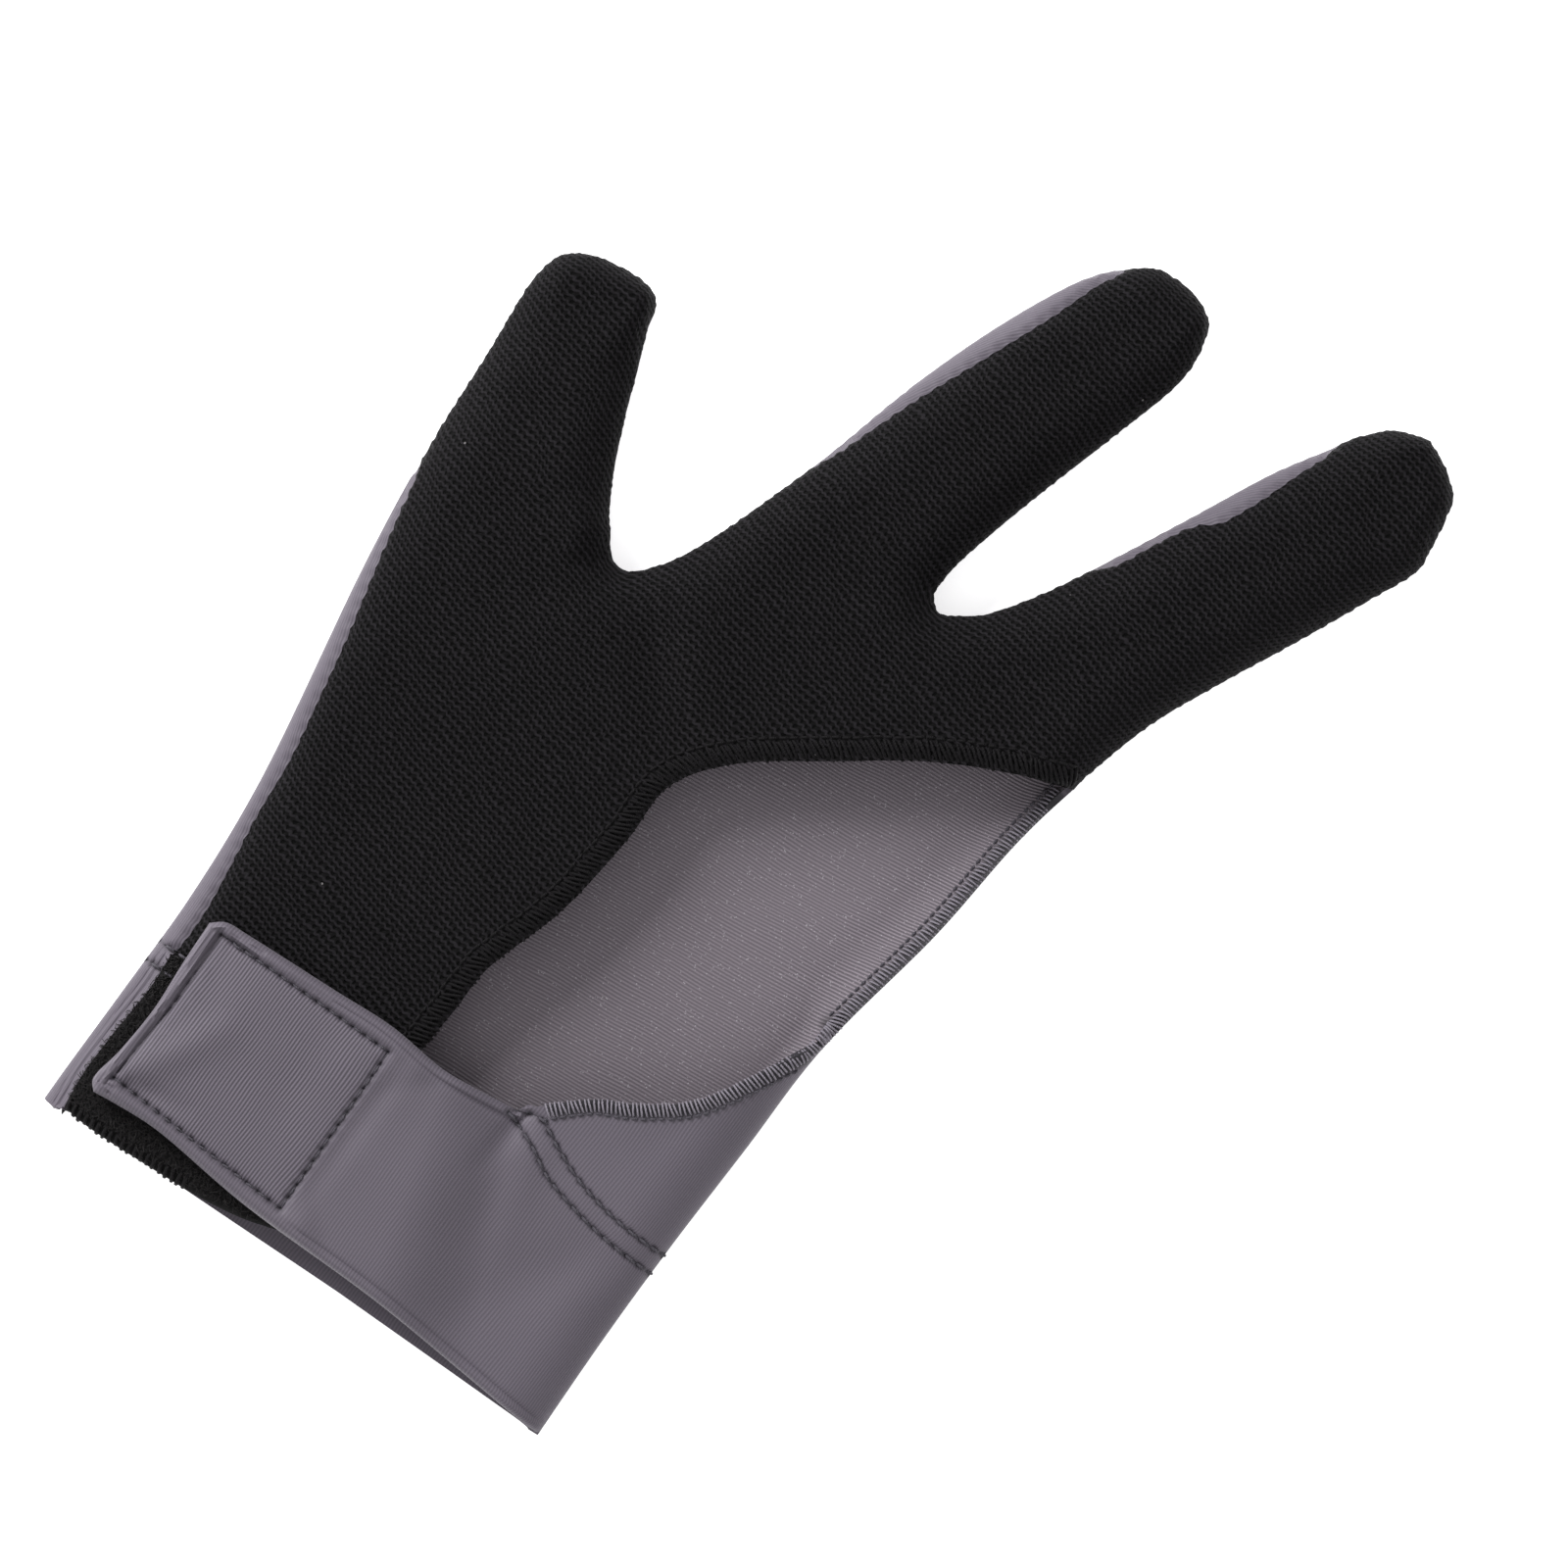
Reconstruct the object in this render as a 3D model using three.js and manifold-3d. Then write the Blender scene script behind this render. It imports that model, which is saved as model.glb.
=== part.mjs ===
// A three-finger billiard glove for the left hand, lying palm side up on a table.
// Millimetres. +Y runs from the wrist to the fingertips, +X to the little-finger side, +Z up.
// The back is stretch cloth, the palm side is open knit, and both are one hollow shell that is
// sewn along the outline of the fingers. The heel of the palm is cut out, so the inside of the
// back shows there. A strap goes round the wrist and closes over a loop patch on the palm side.
import * as THREE from 'three';
import { mergeVertices } from 'three/addons/utils/BufferGeometryUtils.js';
import Module from 'manifold-3d';

// Cloth thicknesses and the gap that is left between pieces
const BACK_CLOTH = 1.0;
const PALM_KNIT = 1.2;
const STRAP_CLOTH = 1.8;
const HOOK_TAPE = 0.9;
const GAP = 0.3;

// Heights above the table, and how far the cloth takes to round over from its edge
const SEAM_HEIGHT = 4.5;
const RIM_HEIGHT = 3.2; // the back's free edge along the little-finger side of the palm
const RIM_CLIMB = { from: { y: 0, z: 3.2 }, to: { y: -20, z: 6.2 } };
const WRIST_HEIGHT = 9.2;
const FLOOR_ROUND = 5;
const TOP_ROUND = 9;
const TAB_RISE = STRAP_CLOTH + HOOK_TAPE + 2 * GAP; // the tab stands this far over the loop patch
const ABOVE = 30; // taller than the glove, for prisms that cut all the way up
const OUTSIDE = 90; // further out than any edge of the glove

// Spacing of the faces
const LONGEST_STEP = 7;
const SHARPEST_TURN = THREE.MathUtils.degToRad(13);
const FINE_STEP = 0.6;
const FIELD_SPACING = 9;
const TOP_SHARES = [0.06, 0.24, 0.55, 1]; // shares of the rounding where a ring of faces ends
const FLOOR_SHARES = [0.12, 0.42, 1];

// Cross-sections of the flat glove, from the wrist end of each limb to its fingertip end: where
// the thumb-side edge and the little-finger-side edge lie, and how high the palm side stands.
const WRIST = [
  { at: 'past the mouth', left: [-20, -126], right: [70, -104], height: 9.2 },
  { at: 'mouth', left: [-23.3, -112.5], right: [67, -92], height: 9.2 },
  { at: 'under the strap', left: [-27.2, -94], right: [62.8, -74.5], height: 9.2 },
  { at: 'strap seam', left: [-31, -76.5], right: [59.3, -58], height: 9.2 },
  { at: 'ball of the thumb', left: [-36.9, -57], right: [55.7, -38.5], height: 10.6 },
];
const THUMB = [
  { at: 'base', left: [-51.8, -20.4], right: [-30.8, 11], height: 11.3 },
  { at: 'knuckle', left: [-58.6, -2], right: [-35.4, 16], height: 11.6 },
  { at: 'middle', left: [-62.7, 13.5], right: [-41, 23.6], height: 11 },
  { at: 'end', left: [-66.8, 28], right: [-46.4, 32], height: 9.8 },
];
const INDEX_FINGER = [
  { at: 'base', left: [-18, 23], right: [10.5, 46], height: 10.4 },
  { at: 'knuckle', left: [-15.9, 43], right: [10.4, 53], height: 11.2 },
  { at: 'middle', left: [-15.2, 58], right: [11, 64], height: 11.6 },
  { at: 'end joint', left: [-13, 76], right: [12, 78], height: 11.2 },
  { at: 'nail', left: [-9.4, 91], right: [12.6, 90.5], height: 9.6 },
];
const MIDDLE_FINGER = [
  { at: 'base', left: [22.6, 54], right: [49, 52], height: 10.8 },
  { at: 'knuckle', left: [25.9, 66], right: [51.4, 64], height: 11.6 },
  { at: 'middle', left: [29.5, 80], right: [54.5, 77], height: 11.6 },
  { at: 'end joint', left: [33, 93], right: [57.3, 90], height: 10.8 },
  { at: 'nail', left: [35.6, 101.4], right: [58.9, 99], height: 9.6 },
];
// Only the little-finger-side edge of the palm lies on the outline.
const PALM = [
  { at: 'heel', left: [-45, -36], right: [52.2, -20], height: 10 },
  { at: 'thumb web', left: [-25.2, 7.2], right: [50.8, 6], height: 9.8 },
  { at: 'below the knuckles', left: [-18, 23], right: [49, 25], height: 9.8 },
  { at: 'finger web', left: [14.3, 39.4], right: [48, 41], height: 10 },
];

// The ends of the fingers, each a curve between its last section's edges, and the webs between
// them, each an arc. A squareness of 2 is an ellipse, and a larger one has fuller corners.
const TIPS = {
  thumb: { x: -58.6, y: 39.2, squareness: 3 },
  indexFinger: { x: 3, y: 102.2, squareness: 2 },
  middleFinger: { x: 47.6, y: 114, squareness: 1.75 },
};
const WEBS = {
  thumb: { x: -25, y: 11.4, radius: 4.2, from: 225, to: 350 },
  fingers: { x: 14.1, y: 43, radius: 3.6, from: 195, to: 325 },
};

// Shallow folds in the palm side: a groove from one point to another
const FOLDS = [
  { fold: 'index base', from: [12, 40], to: [-9, 29], depth: 1.1, reach: 7 },
  { fold: 'thumb web', from: [-25, 8], to: [-14, -12], depth: 1.0, reach: 8 },
  { fold: 'thumb base', from: [-52, -14], to: [-30, -20], depth: 0.9, reach: 9 },
];
const WRIST_LEVEL = -74; // below this line the palm side is flat, for the strap to lie on
const WRIST_BLEND = 28;
const STRAP_CLIMB = { from: 34, to: 15 }; // where the strap climbs over the loop patch, along X

// Where the back wraps over the edge and is sewn to the palm side. Each seam starts and ends just
// outside the outline.
const THUMB_SEAM = [[-61.5, -4.5], [-54.2, -9.5], [-50, -20.5], [-40, -42.5], [-33.6, -60],
  [-27.6, -77], [-26, -85]];
const PATCH_SEAM = [[-26, -85], [-24.6, -90], [-23, -100], [-19.8, -112.4]];
const INDEX_SEAM = [[-19, 50.5], [-13.4, 56.5], [-11, 70], [-9.2, 79], [-7.4, 88], [-5.4, 93],
  [-6.4, 100.5]];
const MIDDLE_SEAM = [[27, 76.4], [32.3, 80.6], [33.9, 86], [35.6, 92.5], [32.6, 98.5]];

// Free edges, seen from above, and the ends of the strap and the patch
const PALM_EDGE = [[48.4, 36.4], [40, 31], [30, 22.6], [20, 11.6], [10.3, 0.2], [6, -9.5],
  [7.8, -20], [9.2, -35], [8.2, -50], [9.6, -58], [11, -68.5]];
const BACK_EDGE = [[52.2, -20], [50, -32], [45, -43.6], [41, -48], [32.6, -55.4]];
const STRAP_TOP = [[-25.8, -76.5], [-24.2, -74.6], [-5, -69], [5, -66.2], [15, -64.8],
  [28, -60.4]];
const STRAP_BOTTOM = [[67, -92], [35, -96.4], [10, -101.6], [-8, -104], [-18.6, -107.2],
  [-20, -105.8]];
const TAB_END = [[-20.4, -100], [-21.6, -92]];
const STRAP_SEAM_Y = -60.7; // where the strap is sewn to the back, on the little-finger side
const BACK_SEAM = [[-OUTSIDE, -104], [-29.4, -86.4], [60, -61], [OUTSIDE, -52.4]];
const BAND_BOTTOM = [[67.2, -92.2], [30, -100.6], [-20, -113.2], [-24.5, -114]];
const PATCH_TOP_RIGHT = [15.5, -75];
const PATCH_BOTTOM = [[15.5, -103.4], [0, -107.6], [-19.6, -112.2]];
const HOOK_CORNERS = [[-22, -78], [6.2, -71], [12.2, -96.6], [-17, -101.8]];

// The overlocked edges: a flat bead of thread round the cut edge of the cloth
const BEAD_WIDTH = 2.6;
const BEAD_THICKNESS = 1.8;
const BEAD_STEPS = 46;
const BEAD_SIDES = 8;
const BACK_RIM = [[46.9, 34.6], [47.9, 25], [49.8, 6], [50.9, -10], [51, -18]];

const wasm = await Module();
wasm.setup();

// Joining, cutting and reading back solids

function solidOf(geometry) {
  const bare = new THREE.BufferGeometry();
  const open = geometry.index ? geometry.toNonIndexed() : geometry;
  bare.setAttribute('position', open.getAttribute('position'));
  const merged = mergeVertices(bare, 1e-4);
  return new wasm.Manifold(new wasm.Mesh({
    numProp: 3,
    vertProperties: merged.attributes.position.array,
    triVerts: new Uint32Array(merged.index.array),
  }));
}

function geometryOf(solid) {
  const largest = solid.decompose().reduce((a, b) => (b.volume() > a.volume() ? b : a));
  const mesh = largest.getMesh();
  const geometry = new THREE.BufferGeometry();
  geometry.setAttribute('position', new THREE.BufferAttribute(mesh.vertProperties, 3));
  geometry.setIndex(new THREE.BufferAttribute(mesh.triVerts, 1));
  return geometry;
}

function prism(points, low, high) {
  const shape = new THREE.Shape(points.map(([x, y]) => new THREE.Vector2(x, y)));
  const block = new THREE.ExtrudeGeometry(shape, { depth: high - low, bevelEnabled: false });
  return solidOf(block.translate(0, 0, low));
}

function joined(solids) {
  return solids.reduce((a, b) => a.add(b));
}

// Lines seen from above

function smooth(points, step) {
  const curve = new THREE.CatmullRomCurve3(points.map(([x, y]) => new THREE.Vector3(x, y, 0)));
  const count = Math.max(2, Math.ceil(curve.getLength() / step));
  return curve.getSpacedPoints(count).map((p) => [p.x, p.y]);
}

// Moves a line sideways, to its left when the distance is positive.
function beside(points, distance) {
  return points.map(([x, y], i) => {
    const before = points[Math.max(0, i - 1)];
    const after = points[Math.min(points.length - 1, i + 1)];
    const dx = after[0] - before[0];
    const dy = after[1] - before[1];
    const length = Math.hypot(dx, dy);
    return [x - (dy / length) * distance, y + (dx / length) * distance];
  });
}

function reversed(points) {
  return [...points].reverse();
}

// The end of a finger, from the thumb-side edge of its last section round to the other edge.
function tipPoints(limb, tip) {
  const { left, right } = limb[limb.length - 1];
  const middle = [(left[0] + right[0]) / 2, (left[1] + right[1]) / 2];
  return [150, 120, 90, 60, 30].map((degrees) => {
    const angle = THREE.MathUtils.degToRad(degrees);
    const across = Math.sign(Math.cos(angle)) * Math.abs(Math.cos(angle)) ** (2 / tip.squareness);
    const out = Math.sin(angle) ** (2 / tip.squareness);
    return [0, 1].map((k) => middle[k] + across * (right[k] - middle[k])
      + out * ([tip.x, tip.y][k] - middle[k]));
  });
}

function webPoints({ x, y, radius, from, to }) {
  return [0, 0.33, 0.67, 1].map((share) => {
    const angle = THREE.MathUtils.degToRad(from + (to - from) * share);
    return [x + radius * Math.cos(angle), y + radius * Math.sin(angle)];
  });
}

const up = (limb) => limb.map((section) => section.left);
const down = (limb) => reversed(limb).map((section) => section.right);
const finger = (limb, tip) => [...up(limb), ...tipPoints(limb, tip), ...down(limb)];

const fineOutline = smooth([
  ...up(WRIST),
  ...finger(THUMB, TIPS.thumb),
  ...webPoints(WEBS.thumb),
  ...finger(INDEX_FINGER, TIPS.indexFinger),
  ...webPoints(WEBS.fingers),
  ...finger(MIDDLE_FINGER, TIPS.middleFinger),
  ...down(PALM),
  ...down(WRIST),
], FINE_STEP);

// The outline's points, thinned where it is straight, each with its way in and the room there.
function outlineStations() {
  const last = fineOutline.length - 1;
  const headings = fineOutline.map((p, i) => {
    const before = fineOutline[Math.max(0, i - 1)];
    const after = fineOutline[Math.min(last, i + 1)];
    return Math.atan2(after[1] - before[1], after[0] - before[0]);
  });
  const kept = [0];
  for (let i = 1; i < last; i += 1) {
    const from = kept[kept.length - 1];
    const turn = headings[i] - headings[from];
    const wrapped = Math.atan2(Math.sin(turn), Math.cos(turn));
    const far = (i - from) * FINE_STEP >= LONGEST_STEP;
    if (far || Math.abs(wrapped) >= SHARPEST_TURN) kept.push(i);
  }
  kept.push(last);
  const stations = kept.map((i) => {
    const [x, y] = fineOutline[i];
    const inX = Math.sin(headings[i]);
    const inY = -Math.cos(headings[i]);
    return { x, y, inX, inY, room: roomAt(x, y, inX, inY) };
  });
  return stations.map((s, i) => {
    const near = [stations[Math.max(0, i - 1)], s, stations[Math.min(stations.length - 1, i + 1)]];
    return { ...s, room: Math.min(...near.map((n) => n.room)) };
  });
}

// Radius of the largest circle inside the outline that touches it at this point.
function roomAt(x, y, inX, inY) {
  let room = TOP_ROUND * 2;
  fineOutline.forEach(([qx, qy]) => {
    const dx = qx - x;
    const dy = qy - y;
    const along = dx * inX + dy * inY;
    const squared = dx * dx + dy * dy;
    if (squared > 4 && along > 1e-6) room = Math.min(room, squared / (2 * along));
  });
  return room;
}

const stations = outlineStations();

function distanceToOutline(x, y) {
  return Math.min(...fineOutline.map(([qx, qy]) => Math.hypot(qx - x, qy - y)));
}

// Heights of the palm side

function distanceToLine(x, y, [ax, ay], [bx, by]) {
  const dx = bx - ax;
  const dy = by - ay;
  const along = ((x - ax) * dx + (y - ay) * dy) / (dx * dx + dy * dy);
  const t = THREE.MathUtils.clamp(along, 0, 1);
  return Math.hypot(x - ax - t * dx, y - ay - t * dy);
}

// Each section sets the height at its middle, and between them the nearest ones count the most.
function palmHeight(x, y) {
  let total = 0;
  let weights = 0;
  [...WRIST, ...THUMB, ...INDEX_FINGER, ...MIDDLE_FINGER, ...PALM].forEach((section) => {
    const midX = (section.left[0] + section.right[0]) / 2;
    const midY = (section.left[1] + section.right[1]) / 2;
    const weight = 1 / ((x - midX) ** 2 + (y - midY) ** 2 + 60) ** 1.5;
    total += weight * section.height;
    weights += weight;
  });
  const dips = FOLDS.map((f) => {
    const away = distanceToLine(x, y, f.from, f.to) / f.reach;
    return f.depth * Math.exp(-away * away);
  });
  const hand = total / weights - dips.reduce((a, b) => a + b, 0);
  const share = THREE.MathUtils.smoothstep(y, WRIST_LEVEL, WRIST_LEVEL + WRIST_BLEND);
  return WRIST_HEIGHT + (hand - WRIST_HEIGHT) * share;
}

// The strap leaves the palm height on the little-finger side and climbs over the loop patch.
function strapHeight(x, y) {
  const left = THREE.MathUtils.smoothstep(x, STRAP_CLIMB.to, STRAP_CLIMB.from);
  return palmHeight(x, y) + TAB_RISE * (1 - left);
}

function roundOver(share) {
  return Math.sqrt(1 - (1 - share) ** 2);
}

function palmSurface(x, y) {
  const share = Math.min(1, distanceToOutline(x, y) / TOP_ROUND);
  return SEAM_HEIGHT + (palmHeight(x, y) - SEAM_HEIGHT) * roundOver(share);
}

// A triangulated field: the faces inside a ring of points, with more points in its middle

function insideRing(ring, x, y) {
  let inside = false;
  ring.forEach(([ax, ay], i) => {
    const [bx, by] = ring[(i + 1) % ring.length];
    if (ay > y !== by > y && x < ax + ((y - ay) / (by - ay)) * (bx - ax)) inside = !inside;
  });
  return inside;
}

function fieldPoints(ring, spacing) {
  const xs = ring.map((p) => p[0]);
  const ys = ring.map((p) => p[1]);
  const rowStep = spacing * Math.sqrt(0.75);
  const found = [];
  let row = 0;
  for (let y = Math.min(...ys) + rowStep / 2; y < Math.max(...ys); y += rowStep) {
    const shift = row % 2 ? spacing / 2 : 0;
    for (let x = Math.min(...xs) + shift; x < Math.max(...xs); x += spacing) {
      const clear = ring.every(([qx, qy]) => Math.hypot(qx - x, qy - y) > spacing * 0.5);
      if (clear && insideRing(ring, x, y)) found.push([x, y]);
    }
    row += 1;
  }
  return found;
}

function area(a, b, c) {
  return (b[0] - a[0]) * (c[1] - a[1]) - (b[1] - a[1]) * (c[0] - a[0]);
}

function inCircle(a, b, c, d) {
  const rows = [a, b, c].map(([x, y]) => {
    const dx = x - d[0];
    const dy = y - d[1];
    return [dx, dy, dx * dx + dy * dy];
  });
  const [p, q, r] = rows;
  const sum = p[0] * (q[1] * r[2] - q[2] * r[1])
    - p[1] * (q[0] * r[2] - q[2] * r[0])
    + p[2] * (q[0] * r[1] - q[1] * r[0]);
  return sum > 1e-7;
}

// Turns the shared edge of two triangles wherever that makes both less slender.
function flipEdges(points, triangles) {
  const owner = new Map();
  let flips = 0;
  triangles.forEach((t, index) => {
    for (let k = 0; k < 3; k += 1) owner.set(`${t[k]},${t[(k + 1) % 3]}`, index);
  });
  const touched = new Set();
  triangles.forEach((t, index) => {
    for (let k = 0; k < 3; k += 1) {
      const a = t[k];
      const b = t[(k + 1) % 3];
      const c = t[(k + 2) % 3];
      const other = owner.get(`${b},${a}`);
      if (other === undefined || touched.has(index) || touched.has(other)) continue;
      const d = triangles[other].find((v) => v !== a && v !== b);
      const convex = area(points[c], points[a], points[d]) > 1e-6
        && area(points[d], points[b], points[c]) > 1e-6;
      if (!convex || !inCircle(points[a], points[b], points[c], points[d])) continue;
      triangles[index] = [c, a, d];
      triangles[other] = [d, b, c];
      touched.add(index);
      touched.add(other);
      flips += 1;
    }
  });
  return flips;
}

function triangulated(ring, inner) {
  const points = [...ring, ...inner];
  const contour = ring.map(([x, y]) => new THREE.Vector2(x, y));
  const triangles = THREE.ShapeUtils.triangulateShape(contour, []).map((t) => {
    const turned = area(points[t[0]], points[t[1]], points[t[2]]) < 0;
    return turned ? [t[0], t[2], t[1]] : [...t];
  });
  inner.forEach((p, i) => {
    const home = triangles.findIndex(([a, b, c]) => area(points[a], points[b], p) > 0
      && area(points[b], points[c], p) > 0 && area(points[c], points[a], p) > 0);
    if (home < 0) return;
    const [a, b, c] = triangles[home];
    const n = ring.length + i;
    triangles[home] = [a, b, n];
    triangles.push([b, c, n], [c, a, n]);
  });
  for (let pass = 0; pass < 60 && flipEdges(points, triangles); pass += 1);
  return { points, triangles };
}

// A pillow: the closed form between the table and the palm side, drawn in from the outline by an
// inset. The glove's shell is one pillow with a smaller one taken out of it.
function pillow({ inset, floor, heightAt }) {
  const positions = [];
  const faces = [];
  const add = (x, y, z) => positions.push(x, y, z) / 3 - 1;
  const count = stations.length;
  const ringAt = (share, round) => stations.map((s) => {
    const reach = Math.min(round, s.room * 0.85) - inset;
    const draw = inset + Math.max(0.2, reach) * share;
    return [s.x + s.inX * draw, s.y + s.inY * draw];
  });
  const strip = (a, b, up) => {
    for (let i = 0; i < count; i += 1) {
      const j = (i + 1) % count;
      faces.push(...(up ? [a[i], b[i], b[j], a[i], b[j], a[j]] : [a[i], b[j], b[i], a[i], a[j], b[j]]));
    }
  };
  const half = (shares, round, up, levelAt) => {
    let ring = ringAt(0, round);
    let previous = edge;
    shares.forEach((share) => {
      ring = ringAt(share, round);
      const level = ring.map(([x, y]) => {
        const full = levelAt(x, y);
        return add(x, y, SEAM_HEIGHT + (full - SEAM_HEIGHT) * roundOver(share));
      });
      strip(previous, level, up);
      previous = level;
    });
    const { points, triangles } = triangulated(ring, fieldPoints(ring, FIELD_SPACING));
    const ids = points.map(([x, y], i) => (i < count ? previous[i] : add(x, y, levelAt(x, y))));
    triangles.forEach(([a, b, c]) => {
      faces.push(...(up ? [ids[a], ids[b], ids[c]] : [ids[a], ids[c], ids[b]]));
    });
  };
  const edge = ringAt(0, TOP_ROUND).map(([x, y]) => add(x, y, SEAM_HEIGHT));
  half(TOP_SHARES, TOP_ROUND, true, heightAt);
  half(FLOOR_SHARES, FLOOR_ROUND, false, () => floor);
  const geometry = new THREE.BufferGeometry();
  geometry.setAttribute('position', new THREE.BufferAttribute(new Float32Array(positions), 3));
  geometry.setIndex(faces);
  return solidOf(geometry);
}

function shell(thickness, heightAt) {
  const outer = pillow({ inset: 0, floor: 0, heightAt });
  const inner = pillow({
    inset: thickness,
    floor: thickness,
    heightAt: (x, y) => heightAt(x, y) - thickness,
  });
  return outer.subtract(inner);
}

// Regions seen from above

// A ring drawn larger: every side moves out by the same distance.
function grown(ring, distance) {
  const turn = ring.reduce((sum, [ax, ay], i) => {
    const [bx, by] = ring[(i + 1) % ring.length];
    return sum + ax * by - bx * ay;
  }, 0);
  const out = Math.sign(turn) * distance;
  return ring.map(([x, y], i) => {
    const [ax, ay] = ring[(i + ring.length - 1) % ring.length];
    const [bx, by] = ring[(i + 1) % ring.length];
    const first = new THREE.Vector2(y - ay, ax - x).normalize();
    const second = new THREE.Vector2(by - y, x - bx).normalize();
    const middle = first.clone().add(second).normalize();
    const length = out / Math.max(0.5, middle.dot(first));
    return [x + middle.x * length, y + middle.y * length];
  });
}

// Inset draws the free edge of the palm back, to leave room for its overlocked bead.
function palmRegion(inset) {
  return [
    ...reversed(THUMB_SEAM), [-OUTSIDE, 10], [-OUTSIDE, 60], [-24, 60], [-24, 46],
    ...INDEX_SEAM, [-8, 108], [18, 108], [19, 70],
    ...MIDDLE_SEAM, [34, 124], [OUTSIDE, 124], [OUTSIDE, 36.8 + inset],
    ...beside(smooth(PALM_EDGE, 4), -inset), [PATCH_TOP_RIGHT[0] - 3, PATCH_TOP_RIGHT[1] + GAP],
  ];
}

const heelRegion = [
  [OUTSIDE, 38], ...beside(smooth(PALM_EDGE, 4), -1), [12, -80], [28, -80], [28, -60],
  ...reversed(beside(smooth(BACK_EDGE, 4), GAP)), [OUTSIDE, -18],
];
const aboveBand = [[-OUTSIDE, -86.1], [-26.4, -85.2], [15.8, -74.6], [28, STRAP_SEAM_Y + GAP],
  [OUTSIDE, STRAP_SEAM_Y + GAP], [OUTSIDE, -140], [-OUTSIDE, -140]];
const underBand = [...BACK_SEAM.map(([x, y]) => [x, y + GAP]), [OUTSIDE, -140], [-OUTSIDE, -140]];
const strapRegion = [...smooth(STRAP_TOP, 6), [32, STRAP_SEAM_Y], [OUTSIDE, STRAP_SEAM_Y],
  [OUTSIDE, -88.6], ...STRAP_BOTTOM, ...TAB_END];
const bandRegion = [...BACK_SEAM, [OUTSIDE, -86], ...BAND_BOTTOM, [-OUTSIDE, -128]];
const patchRegion = [[-26, -85.5], PATCH_TOP_RIGHT, ...PATCH_BOTTOM,
  ...reversed(PATCH_SEAM.slice(1, 3))];
const bandRim = [[-OUTSIDE, -86.4], [-26.2, -86.4], ...beside(PATCH_SEAM, -GAP).slice(1),
  [-24.5, -114], [-OUTSIDE, -128]];

// Everything over the back's free edge, which climbs where the edge turns onto the palm side.
function overTheRim() {
  const { from, to } = RIM_CLIMB;
  const sideView = [[OUTSIDE, from.z], [from.y, from.z], [to.y, to.z], [-OUTSIDE, to.z],
    [-OUTSIDE, ABOVE], [OUTSIDE, ABOVE]];
  const shape = new THREE.Shape(sideView.map(([y, z]) => new THREE.Vector2(y, z)));
  const block = new THREE.ExtrudeGeometry(shape, { depth: 2 * OUTSIDE, bevelEnabled: false });
  const turn = new THREE.Matrix4().makeBasis(
    new THREE.Vector3(0, 1, 0),
    new THREE.Vector3(0, 0, 1),
    new THREE.Vector3(1, 0, 0),
  );
  return solidOf(block.applyMatrix4(turn).translate(-OUTSIDE, 0, 0));
}

function rimHeight(y) {
  const { from, to } = RIM_CLIMB;
  return THREE.MathUtils.mapLinear(THREE.MathUtils.clamp(y, to.y, from.y), from.y, to.y, from.z, to.z);
}

// The pieces

const glove = shell((BACK_CLOTH + PALM_KNIT) / 2, palmHeight);

function backPanel() {
  return glove
    .subtract(prism(grown(palmRegion(0), GAP), SEAM_HEIGHT - GAP / 2, ABOVE))
    .subtract(prism(heelRegion, RIM_HEIGHT, ABOVE).intersect(overTheRim()))
    .subtract(prism(aboveBand, SEAM_HEIGHT, ABOVE))
    .subtract(prism(underBand, -ABOVE, SEAM_HEIGHT));
}

function palmPanel() {
  return glove.intersect(prism(palmRegion(BEAD_WIDTH + GAP), SEAM_HEIGHT + GAP / 2, ABOVE));
}

function loopPatch() {
  return glove.intersect(prism(patchRegion, SEAM_HEIGHT + GAP, ABOVE));
}

// The strap starts at the loop patch, goes under the back of the wrist and comes up over the palm.
function wristStrap() {
  const low = shell(STRAP_CLOTH, palmHeight);
  const high = shell(STRAP_CLOTH, strapHeight);
  return joined([
    low.intersect(prism(bandRegion, -ABOVE, SEAM_HEIGHT)),
    low.intersect(prism(bandRim, SEAM_HEIGHT, ABOVE)),
    high.intersect(prism(strapRegion, SEAM_HEIGHT, ABOVE)),
  ]);
}

function hookTape() {
  const bottom = WRIST_HEIGHT + GAP;
  return prism(HOOK_CORNERS, bottom, bottom + HOOK_TAPE);
}

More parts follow.
